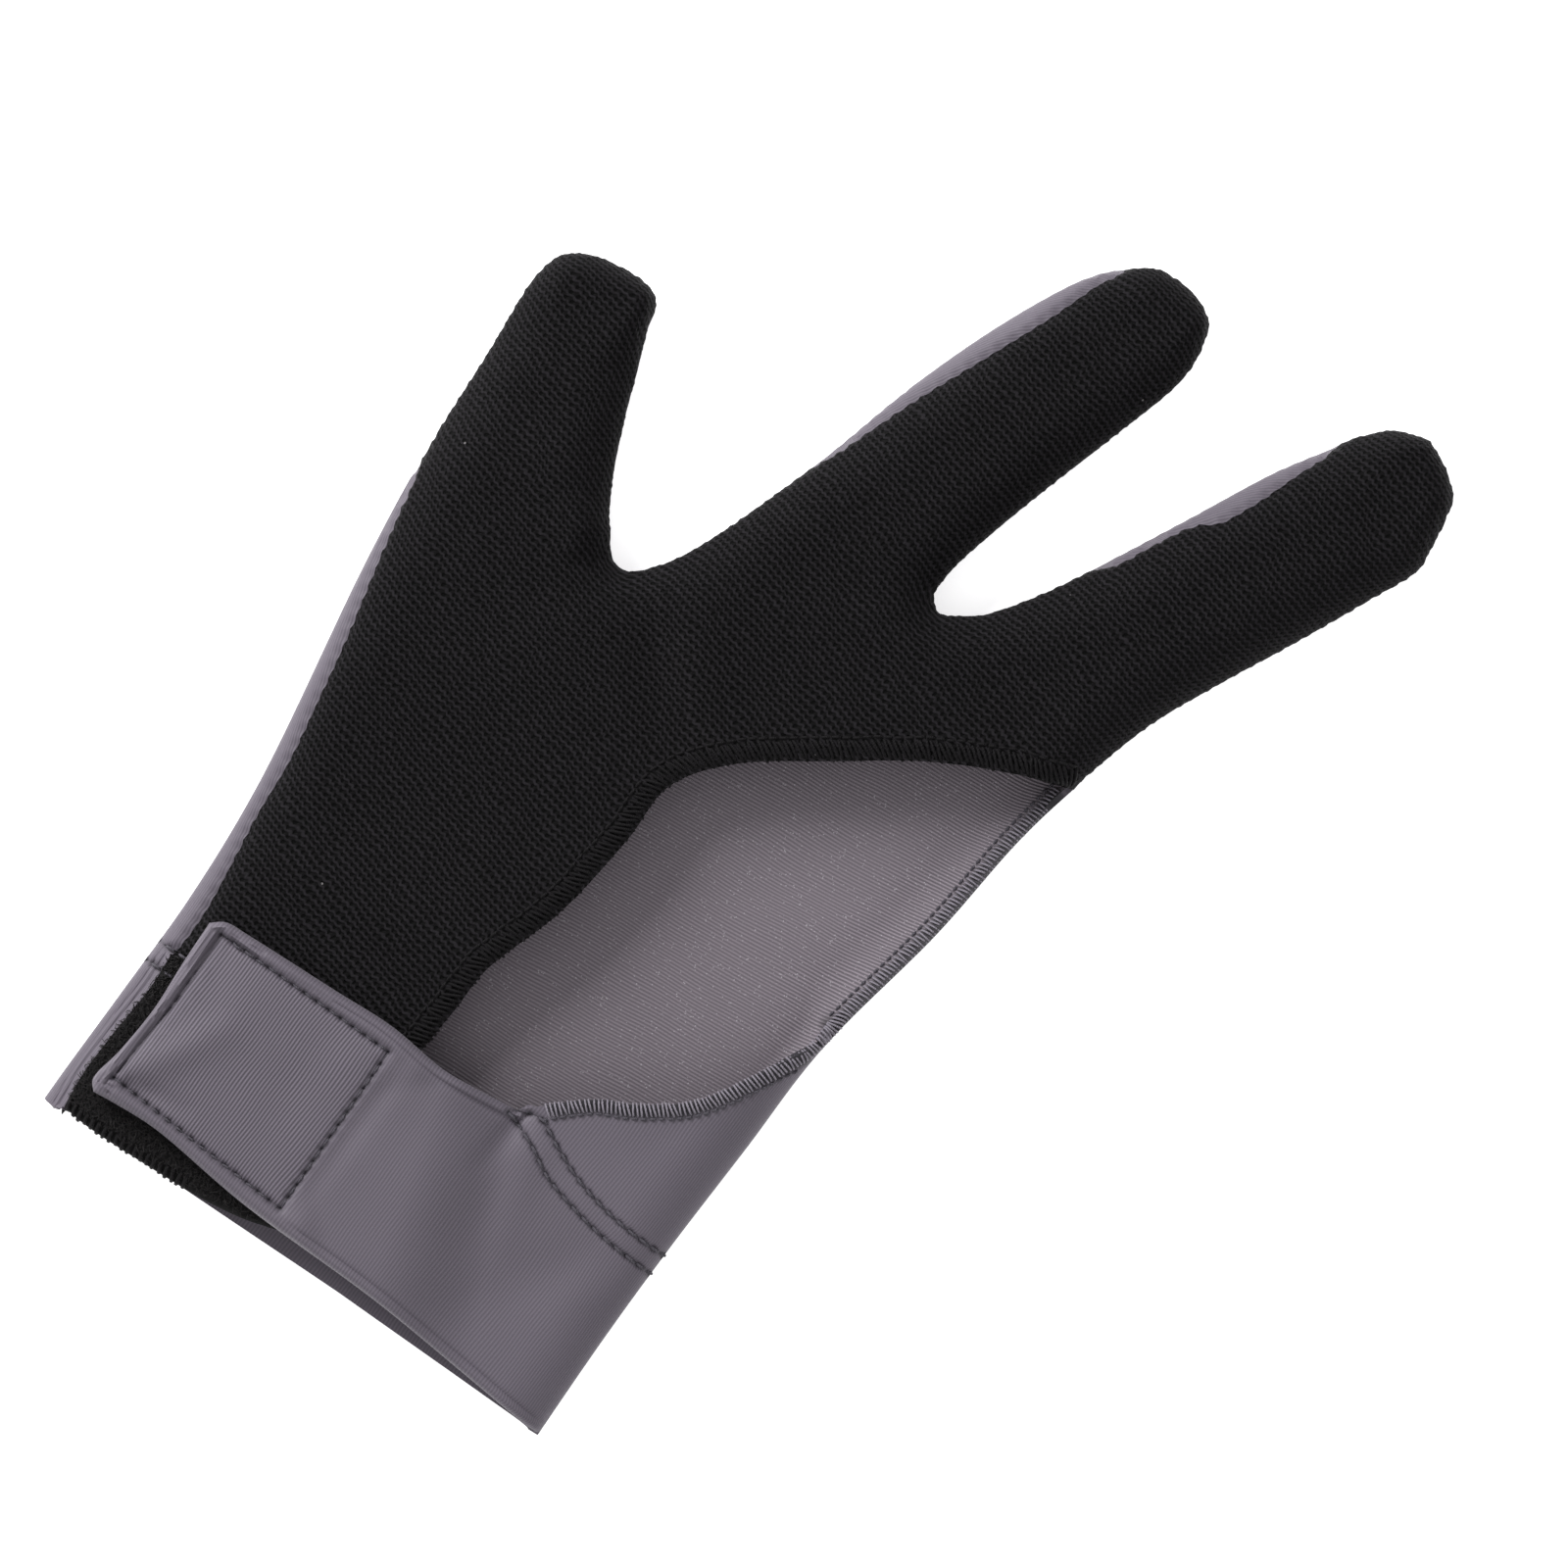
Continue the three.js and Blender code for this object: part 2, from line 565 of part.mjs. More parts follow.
// A closed bead of an oval section along a line of [x, y, z] points.
function bead(points) {
  const path = new THREE.CatmullRomCurve3(points.map((p) => new THREE.Vector3(...p)));
  const positions = [];
  const faces = [];
  const up = new THREE.Vector3(0, 0, 1);
  for (let i = 0; i <= BEAD_STEPS; i += 1) {
    const at = path.getPointAt(i / BEAD_STEPS);
    const along = path.getTangentAt(i / BEAD_STEPS);
    const side = new THREE.Vector3().crossVectors(along, up).normalize();
    const over = new THREE.Vector3().crossVectors(side, along);
    for (let k = 0; k < BEAD_SIDES; k += 1) {
      const angle = (2 * Math.PI * (k + 0.5)) / BEAD_SIDES;
      const p = at.clone()
        .addScaledVector(side, (Math.cos(angle) * BEAD_WIDTH) / 2)
        .addScaledVector(over, (Math.sin(angle) * BEAD_THICKNESS) / 2);
      positions.push(p.x, p.y, p.z);
    }
  }
  for (let i = 0; i < BEAD_STEPS; i += 1) {
    for (let k = 0; k < BEAD_SIDES; k += 1) {
      const a = i * BEAD_SIDES + k;
      const b = i * BEAD_SIDES + ((k + 1) % BEAD_SIDES);
      faces.push(a, b + BEAD_SIDES, b, a, a + BEAD_SIDES, b + BEAD_SIDES);
    }
  }
  const end = BEAD_STEPS * BEAD_SIDES;
  for (let k = 1; k < BEAD_SIDES - 1; k += 1) {
    faces.push(0, k, k + 1, end, end + k + 1, end + k);
  }
  const geometry = new THREE.BufferGeometry();
  geometry.setAttribute('position', new THREE.BufferAttribute(new Float32Array(positions), 3));
  geometry.setIndex(faces);
  return solidOf(geometry);
}

function palmEdgeBead() {
  const line = beside(smooth(PALM_EDGE, 3), -BEAD_WIDTH / 2);
  return bead(line.slice(1).map(([x, y]) => [x, y, palmSurface(x, y) - PALM_KNIT / 2]));
}

function backEdgeBead() {
  const seat = GAP + BEAD_THICKNESS / 2;
  const rim = BACK_RIM.map(([x, y]) => [x, y, rimHeight(y) + seat]);
  const over = beside(smooth(BACK_EDGE, 5), -BEAD_WIDTH / 2).slice(1).map(([x, y]) => {
    return [x, y, Math.max(rimHeight(y) + seat, palmSurface(x, y) - BACK_CLOTH / 2)];
  });
  return bead([...rim, ...over]);
}

const CLOTH_GREY = new THREE.MeshStandardMaterial({ color: 0x6e6a74, roughness: 0.62, metalness: 0 });
const KNIT_BLACK = new THREE.MeshStandardMaterial({ color: 0x1a1a1c, roughness: 0.9, metalness: 0 });
const PILE_BLACK = new THREE.MeshStandardMaterial({ color: 0x141414, roughness: 1, metalness: 0 });
const THREAD_GREY = new THREE.MeshStandardMaterial({ color: 0x4d4c50, roughness: 0.8, metalness: 0 });

const PIECES = [
  { name: 'back_panel', make: backPanel, material: CLOTH_GREY },
  { name: 'palm_panel', make: palmPanel, material: KNIT_BLACK },
  { name: 'wrist_strap', make: wristStrap, material: CLOTH_GREY },
  { name: 'loop_patch', make: loopPatch, material: PILE_BLACK },
  { name: 'hook_tape', make: hookTape, material: PILE_BLACK },
  { name: 'palm_edge_bead', make: palmEdgeBead, material: KNIT_BLACK },
  { name: 'back_edge_bead', make: backEdgeBead, material: THREAD_GREY },
];

const group = new THREE.Group();
PIECES.forEach(({ name, make, material }) => {
  const mesh = new THREE.Mesh(geometryOf(make()), material);
  mesh.name = name;
  group.add(mesh);
});

export default group;
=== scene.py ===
# %% [markdown]
# # A billiard glove, laid flat with its palm up
# The real thing is thin cloth: a grey stretch jersey on the back, a black open knit on the palm,
# and a padded strap that closes over a patch of loop pile at the wrist. It covers the thumb and
# two fingers, and the heel of the palm is cut out so that the hand slides on the table.
#
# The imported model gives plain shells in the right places. Here each of them is replaced by cloth
# with a smooth outline, sewn seams, stitches and overlocked edges. Every size is in millimetres
# until a mesh is made, and then it is turned to metres.

# %% Load the frame
import math

import bmesh
import bpy
import numpy as np
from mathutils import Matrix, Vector, geometry, kdtree, noise


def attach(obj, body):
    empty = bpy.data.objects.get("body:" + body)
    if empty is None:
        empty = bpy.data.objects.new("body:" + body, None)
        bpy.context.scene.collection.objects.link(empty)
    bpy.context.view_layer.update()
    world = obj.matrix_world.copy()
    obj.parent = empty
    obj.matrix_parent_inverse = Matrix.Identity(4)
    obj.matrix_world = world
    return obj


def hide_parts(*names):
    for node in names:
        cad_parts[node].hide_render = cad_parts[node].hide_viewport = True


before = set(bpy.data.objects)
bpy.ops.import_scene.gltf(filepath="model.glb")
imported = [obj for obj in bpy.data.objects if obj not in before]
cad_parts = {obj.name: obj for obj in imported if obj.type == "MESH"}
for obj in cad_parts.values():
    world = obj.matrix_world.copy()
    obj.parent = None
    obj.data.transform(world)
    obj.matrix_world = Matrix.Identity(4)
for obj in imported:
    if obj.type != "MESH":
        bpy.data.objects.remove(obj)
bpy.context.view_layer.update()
BODY = "root"
MM = 0.001


def new_object(name, data):
    obj = bpy.data.objects.new(name, data)
    bpy.context.scene.collection.objects.link(obj)
    return obj


# %% [markdown]
# ## The camera
# The photograph looks straight down from far away, with the glove turned 42 degrees. The long
# lens keeps the view nearly parallel, as it is there. The view is 242 mm wide at the cloth.

# %% Place the camera
VIEW_WIDTH = 242.4
VIEW_CENTRE = (17.6, 3.7)
VIEW_TURN = math.radians(48)
CAMERA_HEIGHT = 1250
CLOTH_LEVEL = 8

camera_data = bpy.data.cameras.new("photo_camera")
camera_data.lens = camera_data.sensor_width * (CAMERA_HEIGHT - CLOTH_LEVEL) / VIEW_WIDTH
camera = new_object("photo_camera", camera_data)
camera.location = Vector((*VIEW_CENTRE, CAMERA_HEIGHT)) * MM
camera.rotation_euler = (0, 0, VIEW_TURN)
bpy.context.scene.camera = camera
print("lens in mm:", round(camera_data.lens, 1))

# %% [markdown]
# ## The outline
# A glove laid flat is drawn like a pattern: cross-sections of each finger and of the wrist give
# both edges and the height between them. The fingertips and the webs between the fingers are
# short rows of points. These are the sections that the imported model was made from, so the cloth
# lies where its solids are.

# %% The sections: thumb-side edge, little-finger-side edge, height
WRIST = [
    ((-20, -126), (70, -104), 9.2),
    ((-23.3, -112.5), (67, -92), 9.2),
    ((-27.2, -94), (62.8, -74.5), 9.2),
    ((-31, -76.5), (59.3, -58), 9.2),
    ((-36.9, -57), (55.7, -38.5), 10.6),
]
THUMB = [
    ((-51.8, -20.4), (-30.8, 11), 11.3),
    ((-58.3, -2), (-35.4, 16), 11.6),
    ((-62.7, 13.5), (-41, 23.6), 11),
    ((-66.8, 28), (-45.2, 30), 9.8),
]
INDEX_FINGER = [
    ((-18, 23), (10.5, 46), 10.4),
    ((-15.9, 43), (10.5, 53), 11.2),
    ((-15.2, 58), (11, 64), 11.6),
    ((-13, 76), (12, 78), 11.2),
    ((-9.6, 90.6), (12.6, 90.5), 9.6),
]
MIDDLE_FINGER = [
    ((22.6, 54), (49, 52), 10.8),
    ((25.9, 66), (51.4, 64), 11.6),
    ((29.4, 80), (54.5, 77), 11.6),
    ((32.6, 93), (57.3, 90), 10.8),
    ((35.5, 101.4), (58.9, 99), 9.6),
]
PALM = [
    ((-45, -36), (52.2, -20), 10),
    ((-25.2, 7.2), (50.8, 6), 9.8),
    ((-18, 23), (48.6, 25), 9.8),
    ((14.3, 39.4), (48.3, 38), 10),
]
THUMB_TIP = [
    (-66.5, 33), (-64.1, 36), (-59.6, 38.4), (-54.8, 39.8), (-52, 39.6), (-50.2, 38), (-49, 35.6),
]
INDEX_TIP = [
    (-7.1, 95.6), (-3.2, 100.1), (-0.2, 101.3), (2.8, 101.8), (5.9, 101.6), (8.8, 100.4),
    (11.6, 95.4),
]
MIDDLE_TIP = [
    (36.5, 104.7), (39.5, 110), (42, 112.1), (44.7, 113.6), (47.6, 113.3), (51, 112.3),
    (54.2, 110.4), (56, 107.2), (57.8, 102.6),
]
THUMB_WEB = [(-29.7, 10.3), (-27.4, 8.3), (-25.2, 7.3), (-23.2, 8), (-21.4, 10.6), (-19.6, 15)]
FINGER_WEB = [(10.8, 43.6), (11.6, 40.6), (14, 39.5), (16, 41.1), (18.8, 44.6)]

SEAM_HEIGHT = 4.5
TOP_ROUND = 9
FLOOR_ROUND = 5
FINE_STEP = 0.3
EDGE_STEP = 0.6


# %% Curves through points
def evenly(points, step):
    """The same line with its points an even distance apart."""
    p = np.array(points, float)
    along = np.concatenate([[0], np.cumsum(np.linalg.norm(np.diff(p, axis=0), axis=1))])
    wanted = np.linspace(0, along[-1], max(2, round(along[-1] / step)) + 1)
    return np.stack([np.interp(wanted, along, p[:, k]) for k in range(p.shape[1])], axis=1)


def curve_through(points, step):
    """An even row of points on a smooth curve through these: a centripetal Catmull-Rom spline."""
    p = np.array(points, float)
    p = np.vstack([2 * p[0] - p[1], p, 2 * p[-1] - p[-2]])
    found = []
    for p0, p1, p2, p3 in zip(p, p[1:], p[2:], p[3:]):
        t1 = np.linalg.norm(p1 - p0) ** 0.5
        t2 = t1 + np.linalg.norm(p2 - p1) ** 0.5
        t3 = t2 + np.linalg.norm(p3 - p2) ** 0.5
        t = np.linspace(t1, t2, 40, endpoint=False)[:, None]
        a1 = (t1 - t) / t1 * p0 + t / t1 * p1
        a2 = (t2 - t) / (t2 - t1) * p1 + (t - t1) / (t2 - t1) * p2
        a3 = (t3 - t) / (t3 - t2) * p2 + (t - t2) / (t3 - t2) * p3
        b1 = (t2 - t) / t2 * a1 + t / t2 * a2
        b2 = (t3 - t) / (t3 - t1) * a2 + (t - t1) / (t3 - t1) * a3
        found.append((t2 - t) / (t2 - t1) * b1 + (t - t1) / (t2 - t1) * b2)
    found.append(p[-2][None])
    return evenly(np.vstack(found), step)


def beside(line, distance):
    """The line moved sideways, to its left where the distance is positive."""
    p = np.array(line, float)
    way = np.gradient(p, axis=0)
    way /= np.linalg.norm(way, axis=1)[:, None]
    return p + np.stack([-way[:, 1], way[:, 0]], axis=1) * distance


# %% The outline
def up_side(sections):
    return [left for left, _, _ in sections]


def down_side(sections):
    return [right for _, right, _ in reversed(sections)]


def finger(sections, tip):
    return [*up_side(sections), *tip, *down_side(sections)]


OUTLINE = curve_through(
    [
        *up_side(WRIST),
        *finger(THUMB, THUMB_TIP), *THUMB_WEB,
        *finger(INDEX_FINGER, INDEX_TIP), *FINGER_WEB,
        *finger(MIDDLE_FINGER, MIDDLE_TIP), *down_side(PALM), *down_side(WRIST),
    ],
    FINE_STEP,
)
print("outline points:", len(OUTLINE))


# %% Distances in plan
class Line:
    """A line in plan that points are measured from."""

    def __init__(self, points):
        self.points = np.array(points, float)
        self.tree = kdtree.KDTree(len(self.points))
        for i, p in enumerate(self.points):
            self.tree.insert((*p, 0)[:3], i)
        self.tree.balance()

    def nearest(self, points):
        """The distance to the line, and its nearest point's number, for each of these points."""
        p = np.array(points, float)
        index = np.array([self.tree.find((*q, 0)[:3])[1] for q in p], int)
        best = np.full(len(p), np.inf)
        for step in (-1, 1):
            a = self.points[index]
            b = self.points[np.clip(index + step, 0, len(self.points) - 1)]
            length = np.maximum(((b - a) ** 2).sum(1), 1e-12)
            share = np.clip(((p - a) * (b - a)).sum(1) / length, 0, 1)
            best = np.minimum(best, np.linalg.norm(p - a - share[:, None] * (b - a), axis=1))
        return best, index

    def away(self, points):
        return self.nearest(points)[0]

    def nearest_point(self, points):
        return np.array([self.tree.find((*q, 0)[:3])[2] for q in points])


def inside(ring, points):
    """Which of these points lie inside the ring."""
    ring, p = np.array(ring, float), np.array(points, float)
    found = np.zeros(len(p), bool)
    for a, b in zip(ring, np.roll(ring, -1, axis=0)):
        crosses = (a[1] > p[:, 1]) != (b[1] > p[:, 1])
        with np.errstate(divide="ignore", invalid="ignore"):
            at = a[0] + (p[:, 1] - a[1]) / (b[1] - a[1]) * (b[0] - a[0])
        found ^= crosses & (p[:, 0] < at)
    return found


def smoothstep(low, high, x):
    t = np.clip((x - low) / (high - low), 0, 1)
    return t * t * (3 - 2 * t)


def bell(x, middle, width):
    """1 at the middle, falling off smoothly on both sides."""
    return np.exp(-(((x - middle) / width) ** 2))


outline_line = Line(OUTLINE)
outline_way = np.gradient(OUTLINE, axis=0)
outline_way /= np.linalg.norm(outline_way, axis=1)[:, None]
OUTLINE_IN = np.stack([outline_way[:, 1], -outline_way[:, 0]], axis=1)

# %% [markdown]
# ## How the cloth rounds over at the edge
# From the edge the cloth rounds over as a quarter of an ellipse. It reaches 9 mm in on the palm
# side and 5 mm below, but never past the middle of a finger, so each edge point gets the radius
# of the largest circle that fits there. At the cut-out heel only the back is left, and its free
# edge lies lower and flatter.


# %% The reach of the rounding
def room_at(index):
    """Radius of the largest circle inside the outline that touches it there."""
    offset = OUTLINE - OUTLINE[index]
    along = offset @ OUTLINE_IN[index]
    squared = (offset**2).sum(1)
    near = (squared > 4) & (along > 1e-6)
    return min(2 * TOP_ROUND, (squared[near] / (2 * along[near])).min())


def smoothed(row, spread):
    kernel = np.hanning(4 * spread + 1)
    return np.convolve(np.pad(row, 2 * spread, mode="edge"), kernel / kernel.sum(), mode="valid")


SPREAD = 12
HEEL_SPREAD = 8
ROOM_USED = 0.85
HEEL_FROM, HEEL_TO, HEEL_SIDE = 33, -16, 44
HEEL_LEVEL = 2.7
HEEL_REACH = 7.5

room = np.array([room_at(i) for i in range(len(OUTLINE))])
room = np.array([room[max(0, i - SPREAD) : i + SPREAD + 1].min() for i in range(len(room))])
room = smoothed(room, SPREAD)
TOP_REACH = np.minimum(TOP_ROUND, ROOM_USED * room)
on_heel = (OUTLINE[:, 0] > HEEL_SIDE) & (OUTLINE[:, 1] < HEEL_FROM) & (OUTLINE[:, 1] > HEEL_TO)
on_heel = smoothed(on_heel.astype(float), HEEL_SPREAD)
EDGE_LEVEL = SEAM_HEIGHT + (HEEL_LEVEL - SEAM_HEIGHT) * on_heel
FLOOR_REACH = np.minimum(FLOOR_ROUND + (HEEL_REACH - FLOOR_ROUND) * on_heel, ROOM_USED * room)
print("narrowest room in mm:", round(room.min(), 1))

# %% [markdown]
# ## Folds
# Empty cloth is never quite level. Creases run from the webs, where the cloth is pulled, across
# the base of each finger, and shallow ones cross the fingers at the joints. A negative depth is a
# ridge. A slow unevenness of a few tenths of a millimetre lies over all of it.

# %% Folds: from, to, depth, reach
PALM_FOLDS = [
    ((11, 40), (-14, 36), 0.75, 3.2),
    ((10, 39), (-16, 29.5), -0.55, 3.6),
    ((9, 38), (-16, 22), 0.6, 4),
    ((-24, 7), (-14, 6), 0.9, 4.5),
    ((-14, 6), (1, -7), 1.0, 4.5),
    ((-10, 10), (8, -1), -0.4, 5),
    ((-26, 5), (-34, -14), 0.5, 5),
    ((-52, -14), (-30, -20), 0.8, 9),
    ((16, 40), (40, 37.5), 0.9, 5.5),
    ((22, 47), (46, 46), -0.3, 5),
    ((33, 91), (44, 93.5), 0.7, 2.4),
    ((35, 95), (46, 97), -0.3, 3),
    ((-10, 85), (-1, 89), 0.55, 2.4),
    ((-11, 80), (0, 83), -0.25, 2.6),
    ((-12, 72), (6, 77), 0.4, 3.6),
    ((-14, 62), (10, 58), 0.35, 5),
    ((27, 70), (51, 66), 0.35, 5),
    ((-60, 8), (-42, 16), 0.4, 5),
    ((-62, 20), (-44, 26), 0.3, 4),
    ((-22, -61), (-2, -56), -0.5, 4.5),
    ((-24, -68), (2, -61), 0.4, 3.5),
    ((-30, -42), (-6, -50), 0.45, 7),
    ((-2, -30), (-24, -36), 0.35, 6),
    ((47, -44), (57, -40), 0.3, 4),
]
WRIST_LEVEL = -74
WRIST_BLEND = 28
WRIST_HEIGHT = 9.2
SECTION_BLEND = 60


def uneven(points, size, seed):
    """A slow noise between about -1 and 1, with swells of that size in millimetres."""
    return np.array([noise.noise((x / size, y / size, seed)) for x, y in points])


def folded(points, folds):
    """How much higher the folds make these points."""
    rise = np.zeros(len(points))
    for start, end, depth, reach in folds:
        a, b = np.array(start, float), np.array(end, float)
        share = ((points - a) @ (b - a)) / ((b - a) @ (b - a))
        fade = 1 - 0.6 * smoothstep(0.3, 1.1, share)
        away = np.linalg.norm(points - a - np.clip(share, 0, 1)[:, None] * (b - a), axis=1)
        rise -= depth * fade * bell(away, 0, reach)
    return rise


def palm_height(points):
    """Height over the table away from the edges, blended from the sections."""
    total, weights = 0, 0
    for left, right, height in [*WRIST, *THUMB, *INDEX_FINGER, *MIDDLE_FINGER, *PALM]:
        middle = (np.array(left) + np.array(right)) / 2
        weight = 1 / (((points - middle) ** 2).sum(1) + SECTION_BLEND) ** 1.5
        total = total + weight * height
        weights = weights + weight
    hand = total / weights + folded(points, PALM_FOLDS)
    hand = hand + 0.3 * uneven(points, 17, 1.5) + 0.1 * uneven(points, 6, 7.5)
    on_hand = smoothstep(WRIST_LEVEL, WRIST_LEVEL + WRIST_BLEND, points[:, 1])
    return WRIST_HEIGHT + (hand - WRIST_HEIGHT) * on_hand


def round_over(share):
    return np.sqrt(np.clip(1 - (1 - np.clip(share, 0, 1)) ** 2, 0, 1))


def top_surface(points):
    """Height of the palm side over the table."""
    distance, index = outline_line.nearest(points)
    share = round_over(distance / TOP_REACH[index])
    return EDGE_LEVEL[index] + (palm_height(points) - EDGE_LEVEL[index]) * share


def floor_surface(points):
    """Height of the back, which lies on the table but for its rounded edge."""
    distance, index = outline_line.nearest(points)
    reached = np.clip(distance / FLOOR_REACH[index], 0, 1)
    share = round_over(reached)
    share += (np.sin(math.pi / 2 * reached) - share) * on_heel[index]
    swell = 0.12 * (1 + uneven(points, 14, 4.5)) * smoothstep(0, 9, distance)
    return EDGE_LEVEL[index] * (1 - share) + swell


# %% [markdown]
# ## From plan to cloth
# Each piece of cloth is drawn in plan and cut out by a constrained triangulation, which keeps the
# cut lines as edges. The points are close together where the cloth rounds over and beside rows of
# stitches, and even elsewhere. Then each point is lifted to its height, and Solidify gives the
# cloth its thickness on the inside.

# %% Points of the plan
FIELD_STEP = 1.1
TURN_DEGREES = {"top": 9, "floor": 15}
STRIDE = round(EDGE_STEP / FINE_STEP)
OUTLINE_EDGE = OUTLINE[::STRIDE]


def ring_points(reach, turn):
    """Rows of points beside the outline, closer together where the cloth turns over."""
    rows = []
    for degrees in range(turn, 91, turn):
        away = (1 - math.cos(math.radians(degrees))) * reach[::STRIDE]
        points = OUTLINE_EDGE + OUTLINE_IN[::STRIDE] * away[:, None]
        distance = outline_line.away(points)
        rows.append(points[np.abs(distance - away) < 0.02 + 0.03 * away])
    return np.vstack(rows)


def grid_points(low, high, step):
    rows = []
    for k, y in enumerate(np.arange(low[1], high[1], step * math.sqrt(0.75))):
        xs = np.arange(low[0] + (k % 2) * step / 2, high[0], step)
        rows.append(np.stack([xs, np.full(len(xs), y)], axis=1))
    return np.vstack(rows)


FIELD = {}
grid = grid_points(OUTLINE.min(0), OUTLINE.max(0), FIELD_STEP)
for side, reach in (("top", TOP_REACH), ("floor", FLOOR_REACH)):
    distance, index = outline_line.nearest(grid)
    middle = grid[inside(OUTLINE, grid) & (distance > reach[index] * 1.04)]
    FIELD[side] = np.vstack([ring_points(reach, TURN_DEGREES[side]), middle])
    print(side, "field points:", len(FIELD[side]))


# %% Triangulate a plan
ROW_TO_ROW = 0.28
FIELD_TO_ROW = 0.5
TO_LINE = 0.3
ROW_TO_LINE = 0.14


def cut_plan(side, region, lines, close_to):
    """Triangles inside the outline and the region. lines are kept as edges, and close_to lists
    (line, distances) where more rows of points run beside a line."""
    low, high = np.min(region, axis=0) - 3, np.max(region, axis=0) + 3
    field = FIELD[side]
    field = field[((field > low) & (field < high)).all(1)]
    extra = np.zeros((0, 2))
    for line, distances in close_to:
        rows = np.vstack([beside(line, away) for away in distances])
        if len(extra):
            rows = rows[Line(extra).nearest_point(rows) > ROW_TO_ROW]
        extra = np.vstack([extra, rows])
    field = field[Line(extra).nearest_point(field) > FIELD_TO_ROW]
    extra = extra[inside(OUTLINE, extra) & (outline_line.away(extra) > TO_LINE)]
    for line in lines:
        field = field[Line(line).away(field) > TO_LINE]
        extra = extra[Line(line).away(extra) > ROW_TO_LINE]
    near = ((OUTLINE_EDGE > low - 4) & (OUTLINE_EDGE < high + 4)).all(1)
    points, edges = [], []
    for line, mask in [(OUTLINE_EDGE, near), *[(np.array(a), None) for a in lines]]:
        first = len(points)
        points.extend(line.tolist())
        for i in range(len(line) - 1):
            if mask is None or (mask[i] and mask[i + 1]):
                edges.append((first + i, first + i + 1))
    points.extend([*field.tolist(), *extra.tolist()])
    made = geometry.delaunay_2d_cdt([Vector(p) for p in points], edges, [], 0, 1e-5, False)
    verts = np.array([tuple(v) for v in made[0]])
    faces = np.array([f for f in made[2] if len(f) == 3])
    a, b, c = (verts[faces[:, k]] for k in range(3))
    area = (b[:, 0] - a[:, 0]) * (c[:, 1] - a[:, 1]) - (b[:, 1] - a[:, 1]) * (c[:, 0] - a[:, 0])
    faces[area < 0] = faces[area < 0][:, ::-1]
    centres = (a + b + c) / 3
    kept = inside(region, centres) & inside(OUTLINE, centres) & (np.abs(area) > 1e-6)
    return verts, faces[kept]


# %% Meshes from the parts that were cut
SHARP_DEGREES = 55


def make_cloth(name, parts):
    """One mesh from parts, each (plan points, triangles, heights, faces up or not)."""
    mesh = bpy.data.meshes.new(name)
    work = bmesh.new()
    for plan, faces, heights, up in parts:
        used = np.unique(faces)
        verts = {i: work.verts.new((*plan[i] * MM, heights[i] * MM)) for i in used}
        for face in faces:
            work.faces.new([verts[i] for i in (face if up else face[::-1])])
    bmesh.ops.remove_doubles(work, verts=work.verts, dist=0.02 * MM)
    work.to_mesh(mesh)
    work.free()
    return new_object(name, mesh)


def positions(obj):
    flat = np.empty(len(obj.data.vertices) * 3)
    obj.data.vertices.foreach_get("co", flat)
    return flat.reshape(-1, 3) / MM


def push(obj, amounts):
    """Moves each vertex along its normal by that many millimetres."""
    normals = np.empty(len(obj.data.vertices) * 3)
    obj.data.vertex_normals.foreach_get("vector", normals)
    moved = positions(obj) + normals.reshape(-1, 3) * np.array(amounts)[:, None]
    obj.data.vertices.foreach_set("co", (moved * MM).ravel())
    obj.data.update()


def applied(obj):
    """Applies the object's modifiers, and leaves a plain mesh."""
    graph = bpy.context.evaluated_depsgraph_get()
    mesh = bpy.data.meshes.new_from_object(obj.evaluated_get(graph))
    obj.modifiers.clear()
    obj.data = mesh
    return obj


def thicken(obj, thickness, inner_slot=0):
    solid = obj.modifiers.new("thickness", "SOLIDIFY")
    solid.thickness = thickness * MM
    solid.offset = -1
    solid.material_offset = inner_slot
    solid.material_offset_rim = 0
    applied(obj)
    obj.data.shade_smooth()
    obj.data.set_sharp_from_angle(angle=math.radians(SHARP_DEGREES))


def finish_piece(obj, node):
    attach(obj, BODY)
    if node:
        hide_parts(node)
    print(obj.name, "triangles:", sum(len(p.vertices) - 2 for p in obj.data.polygons))


# %% [markdown]
# ## Where the pieces lie
# The back wraps over the edge of the hand in narrow strips, along the thumb, the index finger and
# the middle finger, and is sewn to the palm there. Elsewhere that seam lies on the outline itself.
# Two rows of stitches go right round the wrist. The upper one holds the band to the hand, so the
# pieces are cut along it.

# %% Seams and edges in plan
THUMB_SEAM = [
    (-60.6, -1), (-57.3, -5.4), (-54, -12.4), (-50, -20.8), (-45, -31), (-40, -42.5),
    (-36.5, -51), (-33.8, -60), (-30, -70), (-27.6, -77), (-26, -85),
]
PATCH_SEAM = [(-26, -85), (-24.6, -90), (-23, -100), (-21.6, -107), (-19.8, -112.4), (-19, -116)]
INDEX_SEAM = [
    (-18.6, 33), (-16, 41.5), (-14.6, 50), (-13, 60), (-11, 70), (-9.3, 79), (-8.2, 86),
    (-7.6, 91.6), (-6.6, 96), (-6.4, 101),
]
MIDDLE_SEAM = [
    (22.6, 60.9), (25.8, 63.6), (28.1, 72), (29.9, 77.6), (32.4, 80.8), (33.4, 84.5),
    (34.2, 89), (35, 96), (35.6, 100), (35, 106),
]
PALM_EDGE = [
    (50, 37.6), (46.4, 35.2), (40, 31), (30, 22.6), (20, 11.6), (10.3, 0.2), (6, -9.5),
    (7.8, -20), (9.2, -35), (8.2, -50), (9.6, -58), (11, -68.5), (11.6, -76),
]
